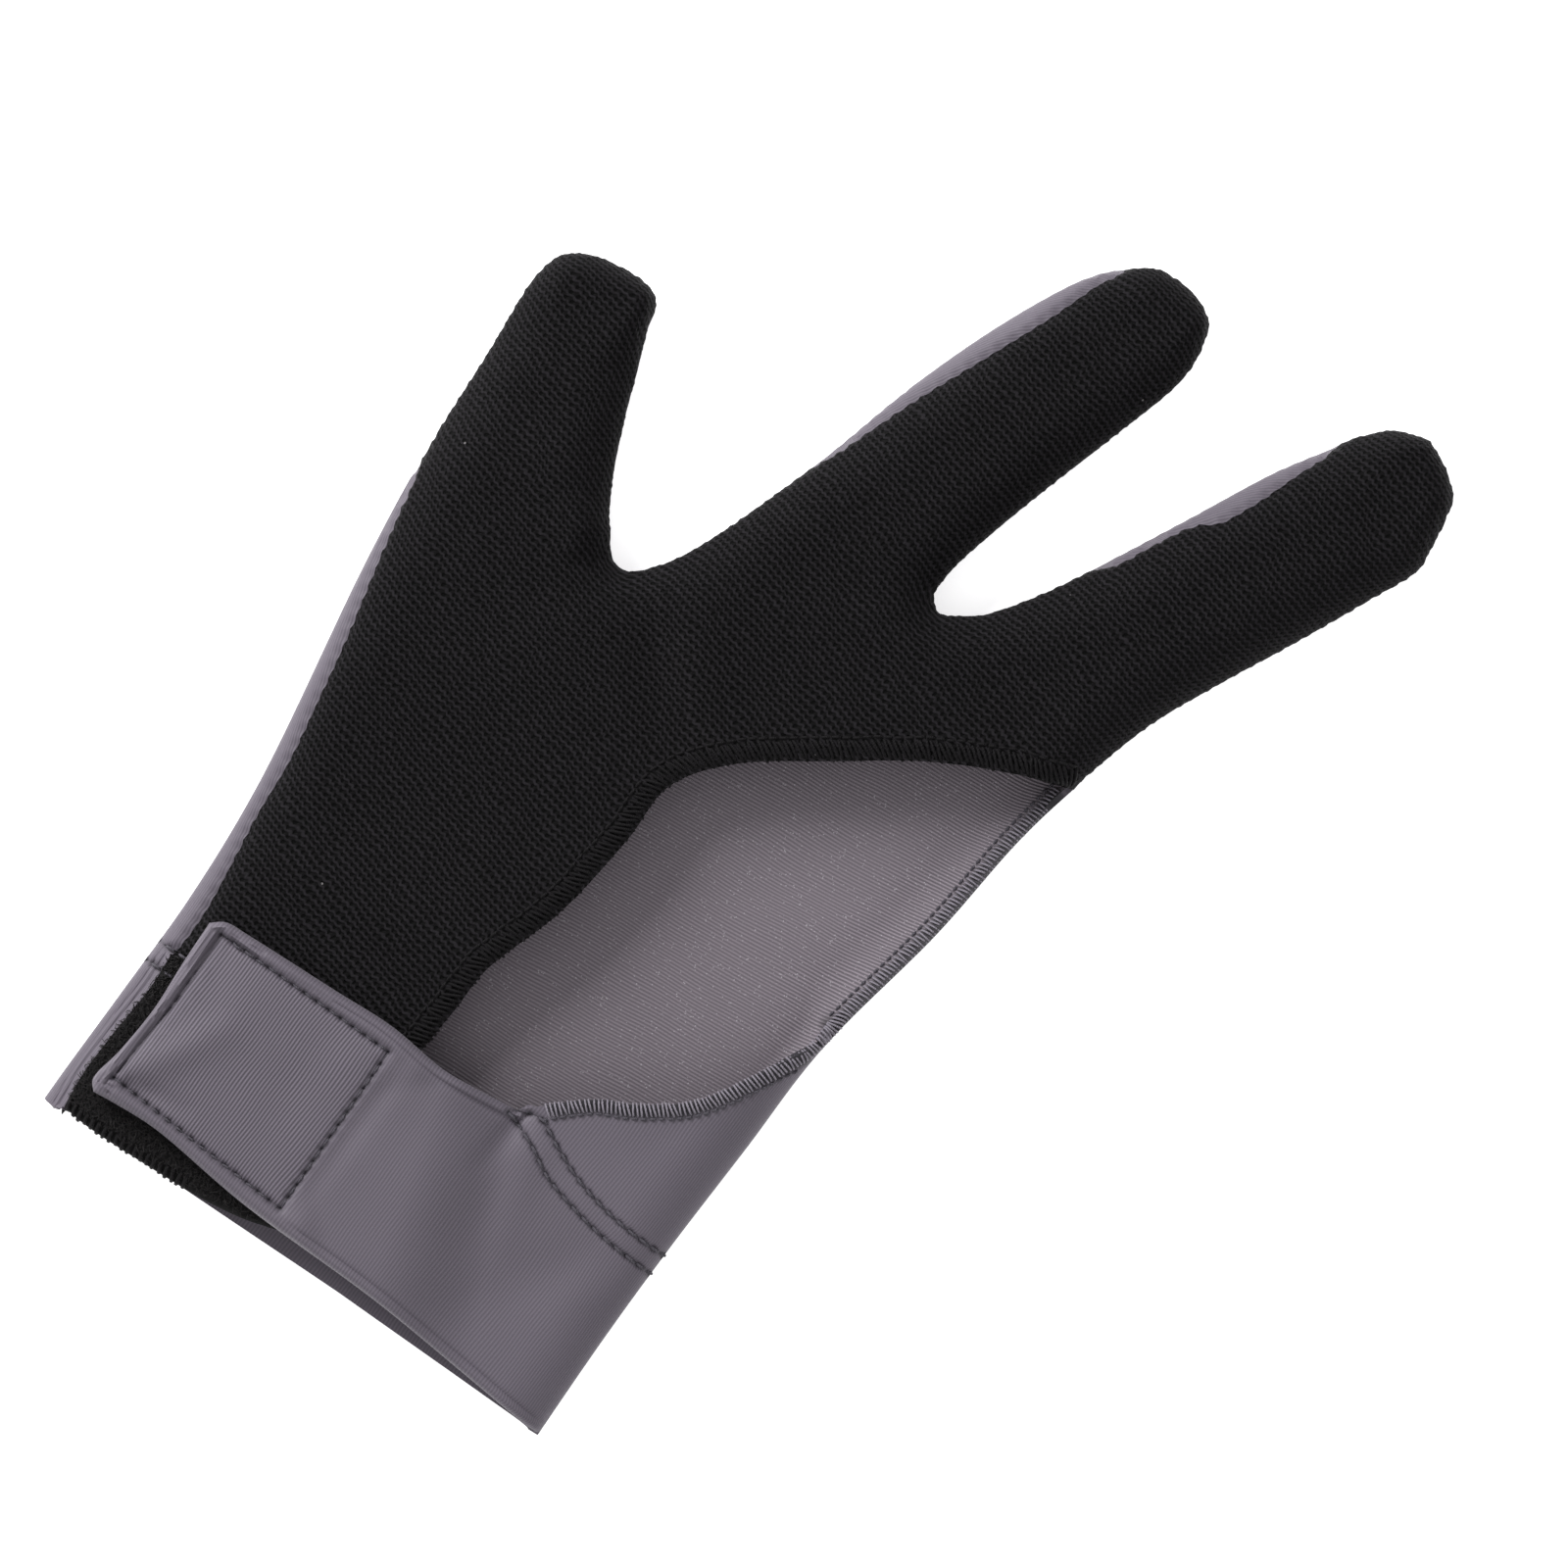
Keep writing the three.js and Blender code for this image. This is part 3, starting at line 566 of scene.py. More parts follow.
BACK_EDGE = [
    (54, -15), (51, -20.5), (48.4, -29.2), (46.8, -34.5), (44.7, -39.7), (41.5, -43.9),
    (37.9, -47.6), (34.9, -50), (32, -53.7), (29.5, -57.5), (27.4, -60.7),
]
UPPER_ROW = [
    (27.4, -60.7), (30.5, -58.9), (35, -59.6), (41, -60.7), (48, -60.8), (55, -59.9), (66, -57.4),
]
LOWER_ROW = [(26.8, -61.8), (33, -62.6), (38, -64), (45, -64.3), (52, -63.8), (62, -62)]
ROUND_THE_BACK = [(-38, -86.9), (-30.2, -84.7), (60, -59.1), (68, -56.9)]
PATCH_TOP = [(-38, -86.9), (-30.2, -84.7), (-25.4, -83.4), (16.5, -71.5)]
STRAP_TOP = [
    (-25.8, -76.5), (-24.2, -74.6), (-20, -73.2), (-5, -69), (5, -66.2), (15, -64.8),
    (20, -63.3), (27.4, -60.7),
]
TAB_END = [
    (-18.4, -107.2), (-19.9, -106), (-20.4, -100), (-21.6, -92), (-24, -83.5), (-25.8, -76.5),
]
STRAP_BOTTOM = [
    (70, -91.6), (50, -94.4), (35, -96.4), (10, -101.6), (-8, -104), (-15, -106), (-18.4, -107.2),
]
BAND_BOTTOM = [(70, -91.5), (67.2, -92.2), (30, -100.6), (-20, -113.2), (-27, -114.6)]
PATCH_BOTTOM = [
    (18, -99.6), (14.6, -101.7), (10.9, -103.7), (4, -106.4), (0, -107.6), (-8, -109.9),
    (-15, -111.7), (-20.5, -112.6),
]
TAB_BOX = [(-23.3, -76.3), (7.5, -69.2), (14.3, -97.8), (-18, -103.3), (-20.2, -89), (-23.3, -76.3)]
FAR = 100
ROW_STEP = 0.4
ROW_SIDES = (-1.3, -0.8, -0.4, 0.4, 0.8, 1.3)

thumb_seam, patch_seam, index_seam, middle_seam, palm_edge, back_edge = (
    curve_through(line, EDGE_STEP)
    for line in (THUMB_SEAM, PATCH_SEAM, INDEX_SEAM, MIDDLE_SEAM, PALM_EDGE, BACK_EDGE)
)
upper_row, lower_row, strap_top, tab_end, strap_bottom, patch_bottom = (
    curve_through(line, ROW_STEP)
    for line in (UPPER_ROW, LOWER_ROW, STRAP_TOP, TAB_END, STRAP_BOTTOM, PATCH_BOTTOM)
)
tab_box, back_upper_row, patch_top = (
    evenly(line, ROW_STEP) for line in (TAB_BOX, ROUND_THE_BACK, PATCH_TOP)
)
band_bottom = evenly(BAND_BOTTOM, EDGE_STEP)
back_lower_row = back_upper_row + (1, -3.4)
patch_lower_row = patch_top + (0.6, -3.5)


def left_of(line, x):
    return line[line[:, 0] < x]


BACK_ROWS = [back_upper_row, back_lower_row]
HAND_ROWS = [upper_row, left_of(patch_top, -10)]
RIM_ROWS = [left_of(patch_top, -25.6), left_of(patch_lower_row, -25)]
BOX_SIDES = [evenly(TAB_BOX[i : i + 2], ROW_STEP) for i in (0, 1, 2)]
BOX_CREASE = evenly(TAB_BOX[3:], ROW_STEP)

# %% [markdown]
# ## Stitches pull the cloth in
# Along a row of stitches the cloth is drawn down into a groove, deepest at each needle hole, and
# it swells a little beside the row. The same distances are kept in an attribute, so that the
# materials can paint shade into the holes and the groove, where little light gets in.

# %% Grooves and needle holes
STITCH_PITCH = 2.2
GROOVE_DEPTH = 0.3
HOLE_DEPTH = 0.4
SWELL = 0.1
NO_HOLE = 9.0


def sewn(points, rows, creases=()):
    """How far the stitches pull these points in, and how much shade is painted there, from 0 to 1.
    A crease is pulled in as a row is, but no stitches show along it."""
    pull, painted_shade = np.zeros(len(points)), np.zeros(len(points))
    for row in [*rows, *creases]:
        away = Line(row).away(points)
        hole = Line(evenly(row, STITCH_PITCH)).nearest_point(points)
        if any(row is crease for crease in creases):
            hole = np.full(len(points), NO_HOLE)
        groove = GROOVE_DEPTH * bell(away, 0, 0.5) + HOLE_DEPTH * bell(hole, 0, 0.4)
        pull = np.maximum(pull, groove) - SWELL * bell(away, 1.3, 0.6)
        dark = 0.35 * bell(away, 0, 0.35) + 0.8 * bell(hole, 0, 0.34)
        painted_shade = np.maximum(painted_shade, np.clip(dark, 0, 1))
    return pull, painted_shade


# %% What the materials are told about the cloth
EDGE_SPREAD = 4
EDGE_FADE = (1.3, 0.9)


def keep(mesh, name, values):
    """Keeps a number or a vector for each vertex, as an attribute of that name."""
    values = np.array(values, float)
    kind, key = ("FLOAT", "value") if values.ndim == 1 else ("FLOAT_VECTOR", "vector")
    mesh.attributes.new(name, kind, "POINT").data.foreach_set(key, values.ravel())


def mark_painted_shade(obj, rows, extra):
    """Keeps how much shade is painted at each vertex. extra gives more of it from the positions."""
    place = positions(obj)
    _, painted_shade = sewn(place[:, :2], rows)
    keep(obj.data, "painted_shade", np.clip(np.maximum(painted_shade, extra(place)), 0, 1))


def mark_laid_out(obj, top_only=False, wrapped=None):
    """Keeps where each point of the cloth would lie if its rounded edge were turned out flat, so
    that a knit runs on over the edge and isn't drawn out down the sides. The points that wrapped
    picks belong to a strip that comes over from below, and are laid out on past the edge."""
    place = positions(obj)
    distance, index = outline_line.nearest(place[:, :2])
    level, height, crown = EDGE_LEVEL[index], place[:, 2], palm_height(place[:, :2])
    on_top = (height > level) | top_only
    share = np.where(on_top, (crown - height) / (crown - level), height / level)
    near = smoothstep(*EDGE_FADE, distance / TOP_REACH[index])
    outward = EDGE_SPREAD * np.clip(share, 0, 1) * near
    if wrapped is not None:
        past = on_top & wrapped(place)
        outward = np.where(past, 2 * (distance + EDGE_SPREAD) - outward, outward)
    flat = place[:, :2] - OUTLINE_IN[index] * outward[:, None]
    keep(obj.data, "laid_out", np.column_stack([flat, np.zeros(len(flat))]))


def mark_stretched(obj, amounts):
    """Keeps how far the cloth is stretched, because its ribs show more there."""
    keep(obj.data, "stretched", amounts)


# %% [markdown]
# ## Materials
# The cloths are polyester. What tells them apart is how they are knitted: the jersey has fine ribs
# and a satin sheen from its elastane, the palm is an open warp knit whose small holes sit in offset
# rows, and the loop pile is brushed so that it takes light softly and looks the darkest. Colours
# are sRGB values that one function turns to linear.


# %% Material helpers
def linear(colour):
    """An sRGB hex colour as linear red, green, blue and alpha."""
    values = [int(colour[k : k + 2], 16) / 255 for k in (1, 3, 5)]
    return [v / 12.92 if v <= 0.04045 else ((v + 0.055) / 1.055) ** 2.4 for v in values] + [1]


def set_inputs(tree, node, inputs):
    """inputs maps a socket's name or number to a value or to an output."""
    for key, value in inputs.items():
        if isinstance(value, bpy.types.NodeSocket):
            tree.links.new(value, node.inputs[key])
        else:
            node.inputs[key].default_value = value


def add(tree, kind, inputs=None, output=0, **settings):
    """Adds a node, and gives the output of that name or number."""
    made = tree.nodes.new(kind)
    for key, value in settings.items():
        setattr(made, key, value)
    set_inputs(tree, made, inputs or {})
    return made.outputs[output]


def math_of(tree, operation, *values):
    return add(tree, "ShaderNodeMath", dict(enumerate(values)), operation=operation)


def times(tree, value, factor):
    return math_of(tree, "MULTIPLY", value, factor)


def wave(tree, value, pitch):
    """A wave from -1 to 1 that repeats every pitch millimetres."""
    return math_of(tree, "SINE", times(tree, value, 2 * math.pi / pitch))


def ramp(tree, value, low, high):
    """A smooth ramp from 0 at low to 1 at high."""
    values = {0: value, 1: low, 2: high}
    return add(tree, "ShaderNodeMapRange", values, interpolation_type="SMOOTHSTEP")


def between(tree, amount, *colours):
    """A colour between two, each a hex value or an output, by an amount from 0 to 1."""
    low, high = (linear(c) if isinstance(c, str) else c for c in colours)
    mix = {0: amount, 6: low, 7: high}
    return add(tree, "ShaderNodeMix", mix, 2, data_type="RGBA", clamp_factor=True)


def noise_of(tree, place, scale, detail, **inputs):
    inputs |= {"Vector": place, "Scale": scale, "Detail": detail}
    return add(tree, "ShaderNodeTexNoise", inputs)


def spots_of(tree, place, scale):
    return add(tree, "ShaderNodeTexVoronoi", {"Vector": place, "Scale": scale})


def new_material(name, roughness, specular, sheen, sheen_roughness=0.5, cloth=True):
    """A material, its tree, and the place in millimetres, whole and as x, y, z. On cloth the place
    is where the point lay before the cloth was turned over the edge."""
    material = bpy.data.materials.new(name)
    material.use_nodes = True
    tree = material.node_tree
    looks = {"Roughness": roughness, "Specular IOR Level": specular}
    looks |= {"Sheen Weight": sheen, "Sheen Roughness": sheen_roughness}
    set_inputs(tree, tree.nodes["Principled BSDF"], looks)
    if cloth:
        place = add(tree, "ShaderNodeAttribute", output="Vector", attribute_name="laid_out")
    else:
        where = add(tree, "ShaderNodeTexCoord", output="Object")
        place = add(tree, "ShaderNodeVectorMath", {0: where, 3: 1 / MM}, operation="SCALE")
    return material, tree, place, add(tree, "ShaderNodeSeparateXYZ", {0: place}).node.outputs


def finished(material, tone, height, depth):
    """Gives it its colour and bump. The full range of the height stands up depth millimetres."""
    tree = material.node_tree
    bump = add(tree, "ShaderNodeBump", {"Height": height, "Distance": depth * MM, "Strength": 1.0})
    set_inputs(tree, tree.nodes["Principled BSDF"], {"Base Color": tone, "Normal": bump})
    return material


# %% The jersey, on its face and on its inside
# Real ribs are 0.4 mm apart. They are drawn 0.55 mm apart, which is the least that shows.
RIB_PITCH = 0.55
# The colour of the painted shade in needle holes, stitch grooves and under the overlock.
PAINTED_SHADE_COLOUR = "#1d1c20"
FILAMENT_GLINT_COLOUR = "#b9b5bb"


def jersey(name, colour, shade, turn_degrees, sparkle, relief):
    """Ribbed stretch jersey. turn_degrees is the way the ribs run, 90 being along the hand."""
    material, tree, place, axes = new_material(name, 0.6, 0.25, 0.12, 0.35)
    angle = math.radians(turn_degrees)
    sideways = times(tree, axes[0], -math.sin(angle))
    across = math_of(tree, "ADD", sideways, times(tree, axes[1], math.cos(angle)))
    drift = noise_of(tree, place, 0.05, 1.0)
    across = math_of(tree, "MULTIPLY_ADD", drift, 2.0, across)
    stretched = add(tree, "ShaderNodeAttribute", output="Fac", attribute_name="stretched")
    depth = math_of(tree, "MULTIPLY_ADD", stretched, 0.3, 0.22)
    rib = math_of(tree, "MULTIPLY_ADD", wave(tree, across, RIB_PITCH), depth, 0.5)
    grain = noise_of(tree, place, 2.6, 3.0, Roughness=0.6)
    broad = noise_of(tree, place, 0.045, 2.0)
    tone = between(tree, rib, shade, colour)
    tone = between(tree, times(tree, grain, 0.35), tone, shade)
    tone = between(tree, times(tree, broad, 0.25), tone, colour)
    # sparkle paints highlight spots where a bare elastane filament catches the light.
    if sparkle:
        bright = math_of(tree, "LESS_THAN", spots_of(tree, place, 1.9), 0.2)
        rare = noise_of(tree, place, 0.9, 2.0)
        bright = times(tree, bright, math_of(tree, "GREATER_THAN", rare, 0.52))
        tone = between(tree, times(tree, bright, sparkle), tone, FILAMENT_GLINT_COLOUR)
    # Painted shade in the needle holes, along the stitch grooves and under the overlock.
    painted_shade = add(tree, "ShaderNodeAttribute", output="Fac", attribute_name="painted_shade")
    tone = between(tree, painted_shade, tone, PAINTED_SHADE_COLOUR)
    return finished(material, tone, math_of(tree, "MULTIPLY_ADD", grain, 0.5, rib), relief)


# %% The open knit of the palm
# Its holes are 1.07 mm apart along the rows and across them, and the yarn loops round each hole.
HOLE_PITCH = 1.07
LINT_COLOUR = "#8f8b8c"


def open_knit(name, thread, hole, glint):
    material, tree, place, axes = new_material(name, 0.7, 0.06, 0.01)
    warp = noise_of(tree, place, 0.2, 2.0)
    jitter = noise_of(tree, place, 1.2, 1.0)
    shift = math_of(tree, "MULTIPLY_ADD", warp, 1.6, times(tree, jitter, 0.35))
    x = math_of(tree, "ADD", axes[0], shift)
    y = math_of(tree, "ADD", axes[1], shift)
    columns = wave(tree, x, HOLE_PITCH)
    rows = wave(tree, math_of(tree, "MULTIPLY_ADD", columns, 0.12, y), HOLE_PITCH)
    fine = noise_of(tree, place, 3.2, 3.0, Roughness=0.7)
    broken = noise_of(tree, place, 0.9, 2.0)
    gap = ramp(tree, math_of(tree, "ADD", columns, rows), 0.5, 1.7)
    # shine paints highlights on the yarn's crowns, and gap lays the painted shade of the holes.
    shine = times(tree, ramp(tree, rows, 0.1, -0.9), times(tree, fine, broken))
    tone = between(tree, times(tree, shine, 3.0), thread, glint)
    tone = between(tree, gap, tone, hole)
    lint = math_of(tree, "LESS_THAN", spots_of(tree, place, 0.11), 0.02)
    tone = between(tree, times(tree, lint, 0.5), tone, LINT_COLOUR)
    height = math_of(tree, "MULTIPLY_ADD", rows, -0.3, times(tree, gap, -1.0))
    return finished(material, tone, math_of(tree, "MULTIPLY_ADD", fine, 0.4, height), 0.15)


# %% Pile, tape and threads
def twisted_thread(name, colour, shade, pitch):
    """Twisted polyester thread or woven tape: a fine wave along the piece and a dull finish."""
    material, tree, place, axes = new_material(name, 0.6, 0.12, 0.02, cloth=False)
    twist = math_of(tree, "ADD", axes[0], axes[1])
    twist = wave(tree, math_of(tree, "ADD", twist, axes[2]), pitch)
    # On thread, the light side of the wave is a painted highlight on each ply. On the tape, it is
    # the weave.
    share = math_of(tree, "MULTIPLY_ADD", twist, 0.5, 0.5)
    speckle = noise_of(tree, place, 4.0, 2.0)
    strand = math_of(tree, "MULTIPLY_ADD", speckle, 0.5, times(tree, share, 0.5))
    return finished(material, between(tree, strand, shade, colour), share, 0.05)


def brushed_pile(name, colour, shade):
    material, tree, place, _ = new_material(name, 0.95, 0.05, 0.04, 0.7, cloth=False)
    tufts = noise_of(tree, place, 1.7, 5.0, Roughness=0.75, Distortion=1.2)
    return finished(material, between(tree, tufts, shade, colour), tufts, 0.5)


# %% The finishes
# Polyester and elastane jersey, knitted tight and heat-set flat. It looks matt and finely ribbed,
# with a faint satin sheen where it bends away.
JERSEY_FACE = jersey("knitted_jersey_face", "#716a75", "#3b373e", 101, 0, 0.06)

# The wrong side of the same jersey. Its loops lie more open, so it is lighter and the ribs show
# more. Here and there a bare elastane filament glints, drawn as painted highlight spots.
JERSEY_INSIDE = jersey("knitted_jersey_inside", "#867d85", "#4a454b", 18, 0.45, 0.07)

# Polyester mesh, warp-knitted with a row of holes in every course. The holes hold the shadow and
# only the crowns of the yarn catch light, so it looks black and grainy at once. Both are painted:
# the hole colour is painted shade and the glint colour a painted highlight.
OPEN_KNIT = open_knit("warp_knitted_mesh", "#0c0b0c", "#020202", "#222023")

# Nylon loop pile, brushed so that the loops stand up. Light sinks in between them, which makes it
# the softest and darkest surface here.
LOOP_PILE = brushed_pile("brushed_nylon_loop_pile", "#1b1a1b", "#090909")

# Single nylon loops that the brushing pulled out. They are the pile made a shade paler, as
# painted light, because they stand in the light.
LIT_PILE_FIBRE = brushed_pile("nylon_loop_fibre_lit", "#3a3738", "#151415")

# Woven nylon tape that carries the hooks: dull black with a fine, regular weave.
HOOK_TAPE = twisted_thread("woven_nylon_hook_tape", "#1c1c1d", "#0c0c0c", 0.5)

# Textured polyester thread, twisted from two plies. The twist breaks its highlight into dots, which
# are painted into its colour. A real twist repeats every 0.2 mm and is drawn at 0.35 mm, the least
# that shows.
TWIST = 0.35
BLACK_THREAD = twisted_thread("twisted_polyester_thread_black", "#161416", "#060506", TWIST)
GREY_THREAD = twisted_thread("twisted_polyester_thread_grey", "#a09aa4", "#524e57", TWIST)
DARK_THREAD = twisted_thread("twisted_polyester_thread_dark_grey", "#625e66", "#242328", TWIST)

# %% [markdown]
# ## The back and the palm
# They are the two halves of one flat tube. Sewing pulls both cloths into the seam, so each sinks a
# little along it, with small puckers between the stitches, and the line between them reads as a
# seam and not as a change of colour.

# %% Cut the palm side
seams = [thumb_seam, index_seam, middle_seam]
hand_region = [(-FAR, -90), (FAR, -90), (FAR, 130), (-FAR, 130)]
palm_region = np.vstack([
    thumb_seam[::-1], [(-FAR, 10), (-FAR, 60), (-24, 60), (-24, 36)],
    index_seam, [(-8, 112), (18, 112), (18, 62)],
    middle_seam, [(34, 124), (FAR, 124), (FAR, 40)],
    palm_edge, [(11.6, -90), (-26, -90)],
])
wedge_region = np.vstack([[(FAR, -15)], back_edge, upper_row, [(FAR, -57.4)]])


def above(line, points):
    return points[:, 1] > np.interp(points[:, 0], line[:, 0], line[:, 1])


top_verts, top_faces = cut_plan(
    "top",
    hand_region,
    [*seams, palm_edge, back_edge, upper_row, patch_top],
    [
        *[(row, ROW_SIDES) for row in (upper_row, left_of(patch_top, -18), *seams)],
        (palm_edge, (-0.4, -0.9, -1.6)),
        (back_edge, (0.4, 0.9, 1.6)),
    ],
)
top_centres = top_verts[top_faces].mean(1)
above_patch = above(patch_top, top_centres)
in_palm = inside(palm_region, top_centres) & above_patch
hand_pull, _ = sewn(top_verts, HAND_ROWS)
top_heights = top_surface(top_verts) - hand_pull
print("palm side faces:", len(top_faces), "in the palm:", int(in_palm.sum()))

# %% Seams and the knit's edge
PALM_KNIT = 1.1
SEAM_DEPTH = 0.7
SIDE_DEPTH = 0.2
SEAM_REACH = 0.9
PUCKER_PITCH = 2.6
PUCKER_SHARE = 0.25
EDGE_BEADS = 1.9
BUMP = 0.13

palm_free = (OUTLINE_EDGE[:, 0] > 40) & (OUTLINE_EDGE[:, 1] < 38)
on_outline = OUTLINE_EDGE[(OUTLINE_EDGE[:, 1] > -4) & ~palm_free]
seam_points = np.vstack([np.column_stack([seam, top_surface(seam)]) for seam in seams])
side_points = np.column_stack([on_outline, np.full(len(on_outline), SEAM_HEIGHT)])


def sink_seams(obj):
    """Pulls the cloth in along the seams, more between the stitches than at them."""
    for points, depth in ((seam_points, SEAM_DEPTH), (side_points, SIDE_DEPTH)):
        tree = kdtree.KDTree(len(points))
        for i, p in enumerate(points):
            tree.insert(p, i)
        tree.balance()
        found = [tree.find(p) for p in positions(obj)]
        away, index = np.array([f[2] for f in found]), np.array([f[1] for f in found])
        pucker = 1 + PUCKER_SHARE * np.sin(index * EDGE_STEP * 2 * math.pi / PUCKER_PITCH)
        push(obj, -depth * pucker * bell(away, 0, SEAM_REACH))


def knit_bumps(place):
    """The knit's small bumps, which make its edge look beaded. They fade where points are few."""
    x, y = place[:, 0], place[:, 1]
    cells = np.sin(2 * math.pi * x / EDGE_BEADS) * np.sin(2 * math.pi * y / EDGE_BEADS)
    return BUMP * cells * smoothstep(4, 1.5, outline_line.away(place[:, :2]))


# %% The palm panel
palm = make_cloth("palm_knit", [(top_verts, top_faces[in_palm], top_heights, True)])
sink_seams(palm)
push(palm, knit_bumps(positions(palm)))
mark_laid_out(palm, top_only=True)
palm.data.materials.append(OPEN_KNIT)
thicken(palm, PALM_KNIT)
finish_piece(palm, "palm_panel")

# %% Cut the back
BACK_CLOTH = 1.0

floor_verts, floor_faces = cut_plan(
    "floor", hand_region, [back_upper_row], [(back_upper_row, ROW_SIDES)]
)
floor_pull, _ = sewn(floor_verts, [back_upper_row])
floor_heights = floor_surface(floor_verts) + floor_pull
in_back = above(back_upper_row, floor_verts[floor_faces].mean(1))
top_x, top_y = top_centres.T
near_thumb = (top_x < -22) & (top_y < 8)
near_index = (top_x < 0) & (top_y > 25)
near_middle = (top_x > 18) & (top_x < 40) & (top_y > 50)
strips = ~in_palm & above_patch & (near_thumb | near_index | near_middle)
strips |= inside(wedge_region, top_centres)

# %% The back panel
LOWER_SIDE = 5
HEEL_LINE = Line(OUTLINE[on_heel > 0.5])
BOUND_WEDGE = Line(back_edge[(back_edge[:, 1] > -55.5) & (back_edge[:, 1] < -17.5)])

back = make_cloth(
    "jersey_back",
    [
        (top_verts, top_faces[strips], top_heights, True),
        (floor_verts, floor_faces[in_back], floor_heights, False),
    ],
)
sink_seams(back)


def painted_shade_under_overlock(place):
    """Painted shade on the cloth under the threads that bind its free edge, where it shows between
    them.
    """
    plan = place[:, :2]
    away = np.where(place[:, 2] > LOWER_SIDE, BOUND_WEDGE.away(plan), HEEL_LINE.away(plan))
    return 0.9 * smoothstep(2.2, 1.7, away)


mark_painted_shade(back, [*HAND_ROWS, back_upper_row], painted_shade_under_overlock)
mark_laid_out(back, wrapped=lambda place: (place[:, 0] < 0) | (place[:, 1] > 0))
back_place = positions(back)
near_heel = smoothstep(15, 3, HEEL_LINE.away(back_place[:, :2]))
mark_stretched(back, (0.55 + 0.9 * near_heel) * (back_place[:, 2] < LOWER_SIDE))
back.data.materials.append(JERSEY_FACE)
back.data.materials.append(JERSEY_INSIDE)
thicken(back, BACK_CLOTH, 1)
finish_piece(back, "back_panel")

# %% [markdown]
# ## The strap
# One grey band goes round the back of the wrist. Its thumb-side end is sewn to the loop patch, and
# the other end comes over the palm side and carries the tab. The tab is padded: a square of hook
# tape is stitched flat under it, and outside the stitches the cloth is rolled round its edge.

# %% The strap's heights
STRAP_CLOTH = 1.7
TAB_RISE = 3.3
CLIMB_END = (27.4, -60.7)
CLIMB_LEAN = -0.75
CLIMB_LENGTH = 14
CLIMB_SPREAD = 0.2
END_DROOP = 0.9
ROLL_HEIGHT = 0.8
HEM_HEIGHT = 0.3
CORD_DEPTH = 0.4
LAYER_DEPTH = 0.4
BOX_SWELL = 0.3
EDGE_DROP = 1.2
EDGE_ROUND = 1.6
STRAP_FOLDS = [
    ((27, -70), (36, -97), -0.9, 8),
    ((10.5, -69.5), (16, -96), 0.5, 1.8),
    ((28.8, -60.5), (30, -70), 0.6, 1.8),
    ((34, -63.5), (40, -75), -0.4, 3),
    ((-17.2, -101.5), (-12, -86), -0.8, 2.8),
    ((-15.4, -101.8), (-7, -98.6), 0.6, 1.5),
    ((-21.6, -78), (-16, -84), 0.3, 2.5),
    ((52, -66), (44, -92), 0.5, 5),
    ((0, -76), (4, -92), 0.25, 4),
]

free_edge = np.vstack([strap_bottom, tab_end[1:], strap_top[1:]])
free_edge_line = Line(free_edge)
strap_top_line = Line(strap_top)
box_line = Line(tab_box)


def strap_surface(points):
    """Height of the strap: it climbs onto the tab, rolls round its edge and ends in a hem. The
    steps and the bounds on x and y say where along the strap each of these begins and ends."""
    x, y = points.T
    distance, index = outline_line.nearest(points)
    share = np.where(x > 22, round_over(distance / TOP_REACH[index]), 1)
    climb_end = CLIMB_END[0] + CLIMB_LEAN * (y - CLIMB_END[1])
    climb_length = CLIMB_LENGTH + CLIMB_SPREAD * np.maximum(CLIMB_END[1] - y, 0)
    climb = 1 - smoothstep(0, 1, (x - climb_end + climb_length) / climb_length)
    height = palm_height(points) + TAB_RISE * climb + folded(points, STRAP_FOLDS)
    z = SEAM_HEIGHT + (height - SEAM_HEIGHT) * share
    z -= END_DROOP * smoothstep(-12, -27, x)
    from_edge, from_box = free_edge_line.away(points), box_line.away(points)
    boxed = inside(TAB_BOX, points)
    margin = from_edge + from_box
    roll = np.sin(math.pi * np.clip(from_edge / margin, 0, 1) ** 0.8)
    z += np.where(boxed, 0, ROLL_HEIGHT * roll * smoothstep(12, 6, margin))
    hem = HEM_HEIGHT * bell(from_edge, 0.8, 0.6)
    hem -= HEM_HEIGHT * bell(from_edge, 1.8, 0.3)
    z += hem * smoothstep(14, 20, x)
    cord = bell(strap_top_line.away(points), 1.5, 0.3) * smoothstep(-14, -4, x) * (y > -80)
    z -= CORD_DEPTH * cord
    layers = bell(from_edge, 1.1, 0.26) + bell(from_edge, 2.1, 0.24)
    z -= np.where(boxed, 0, LAYER_DEPTH * layers * (x < -16.5) * (y > -105.5))
    z += 0.15 * uneven(points, 9, 2.5)
    z += np.where(boxed, BOX_SWELL * (1 - np.exp(-from_box / 2.2)), 0)
    return z - EDGE_DROP * (1 - round_over(from_edge / EDGE_ROUND))


# %% Cut the strap, the band and the rim beside the patch
RIM_END = [(-20, -112.9), (-20.6, -113.6), (-22.6, -114.1), (-30, -113)]
rim_end = evenly([(-19, -112.6), *RIM_END], EDGE_STEP)
rim_rows = [left_of(patch_top, -20), left_of(patch_lower_row, -20)]
strap_region = np.vstack([free_edge, upper_row[1:], [(FAR, -57), (FAR, -91)]])
band_region = np.vstack([back_upper_row, [(FAR, -57)], band_bottom, [(-FAR, -115), (-FAR, -87)]])
rim_region = np.vstack([
    left_of(patch_top, -25.9), patch_seam[patch_seam[:, 1] > -112.8], RIM_END, [(-FAR, -87)],
])

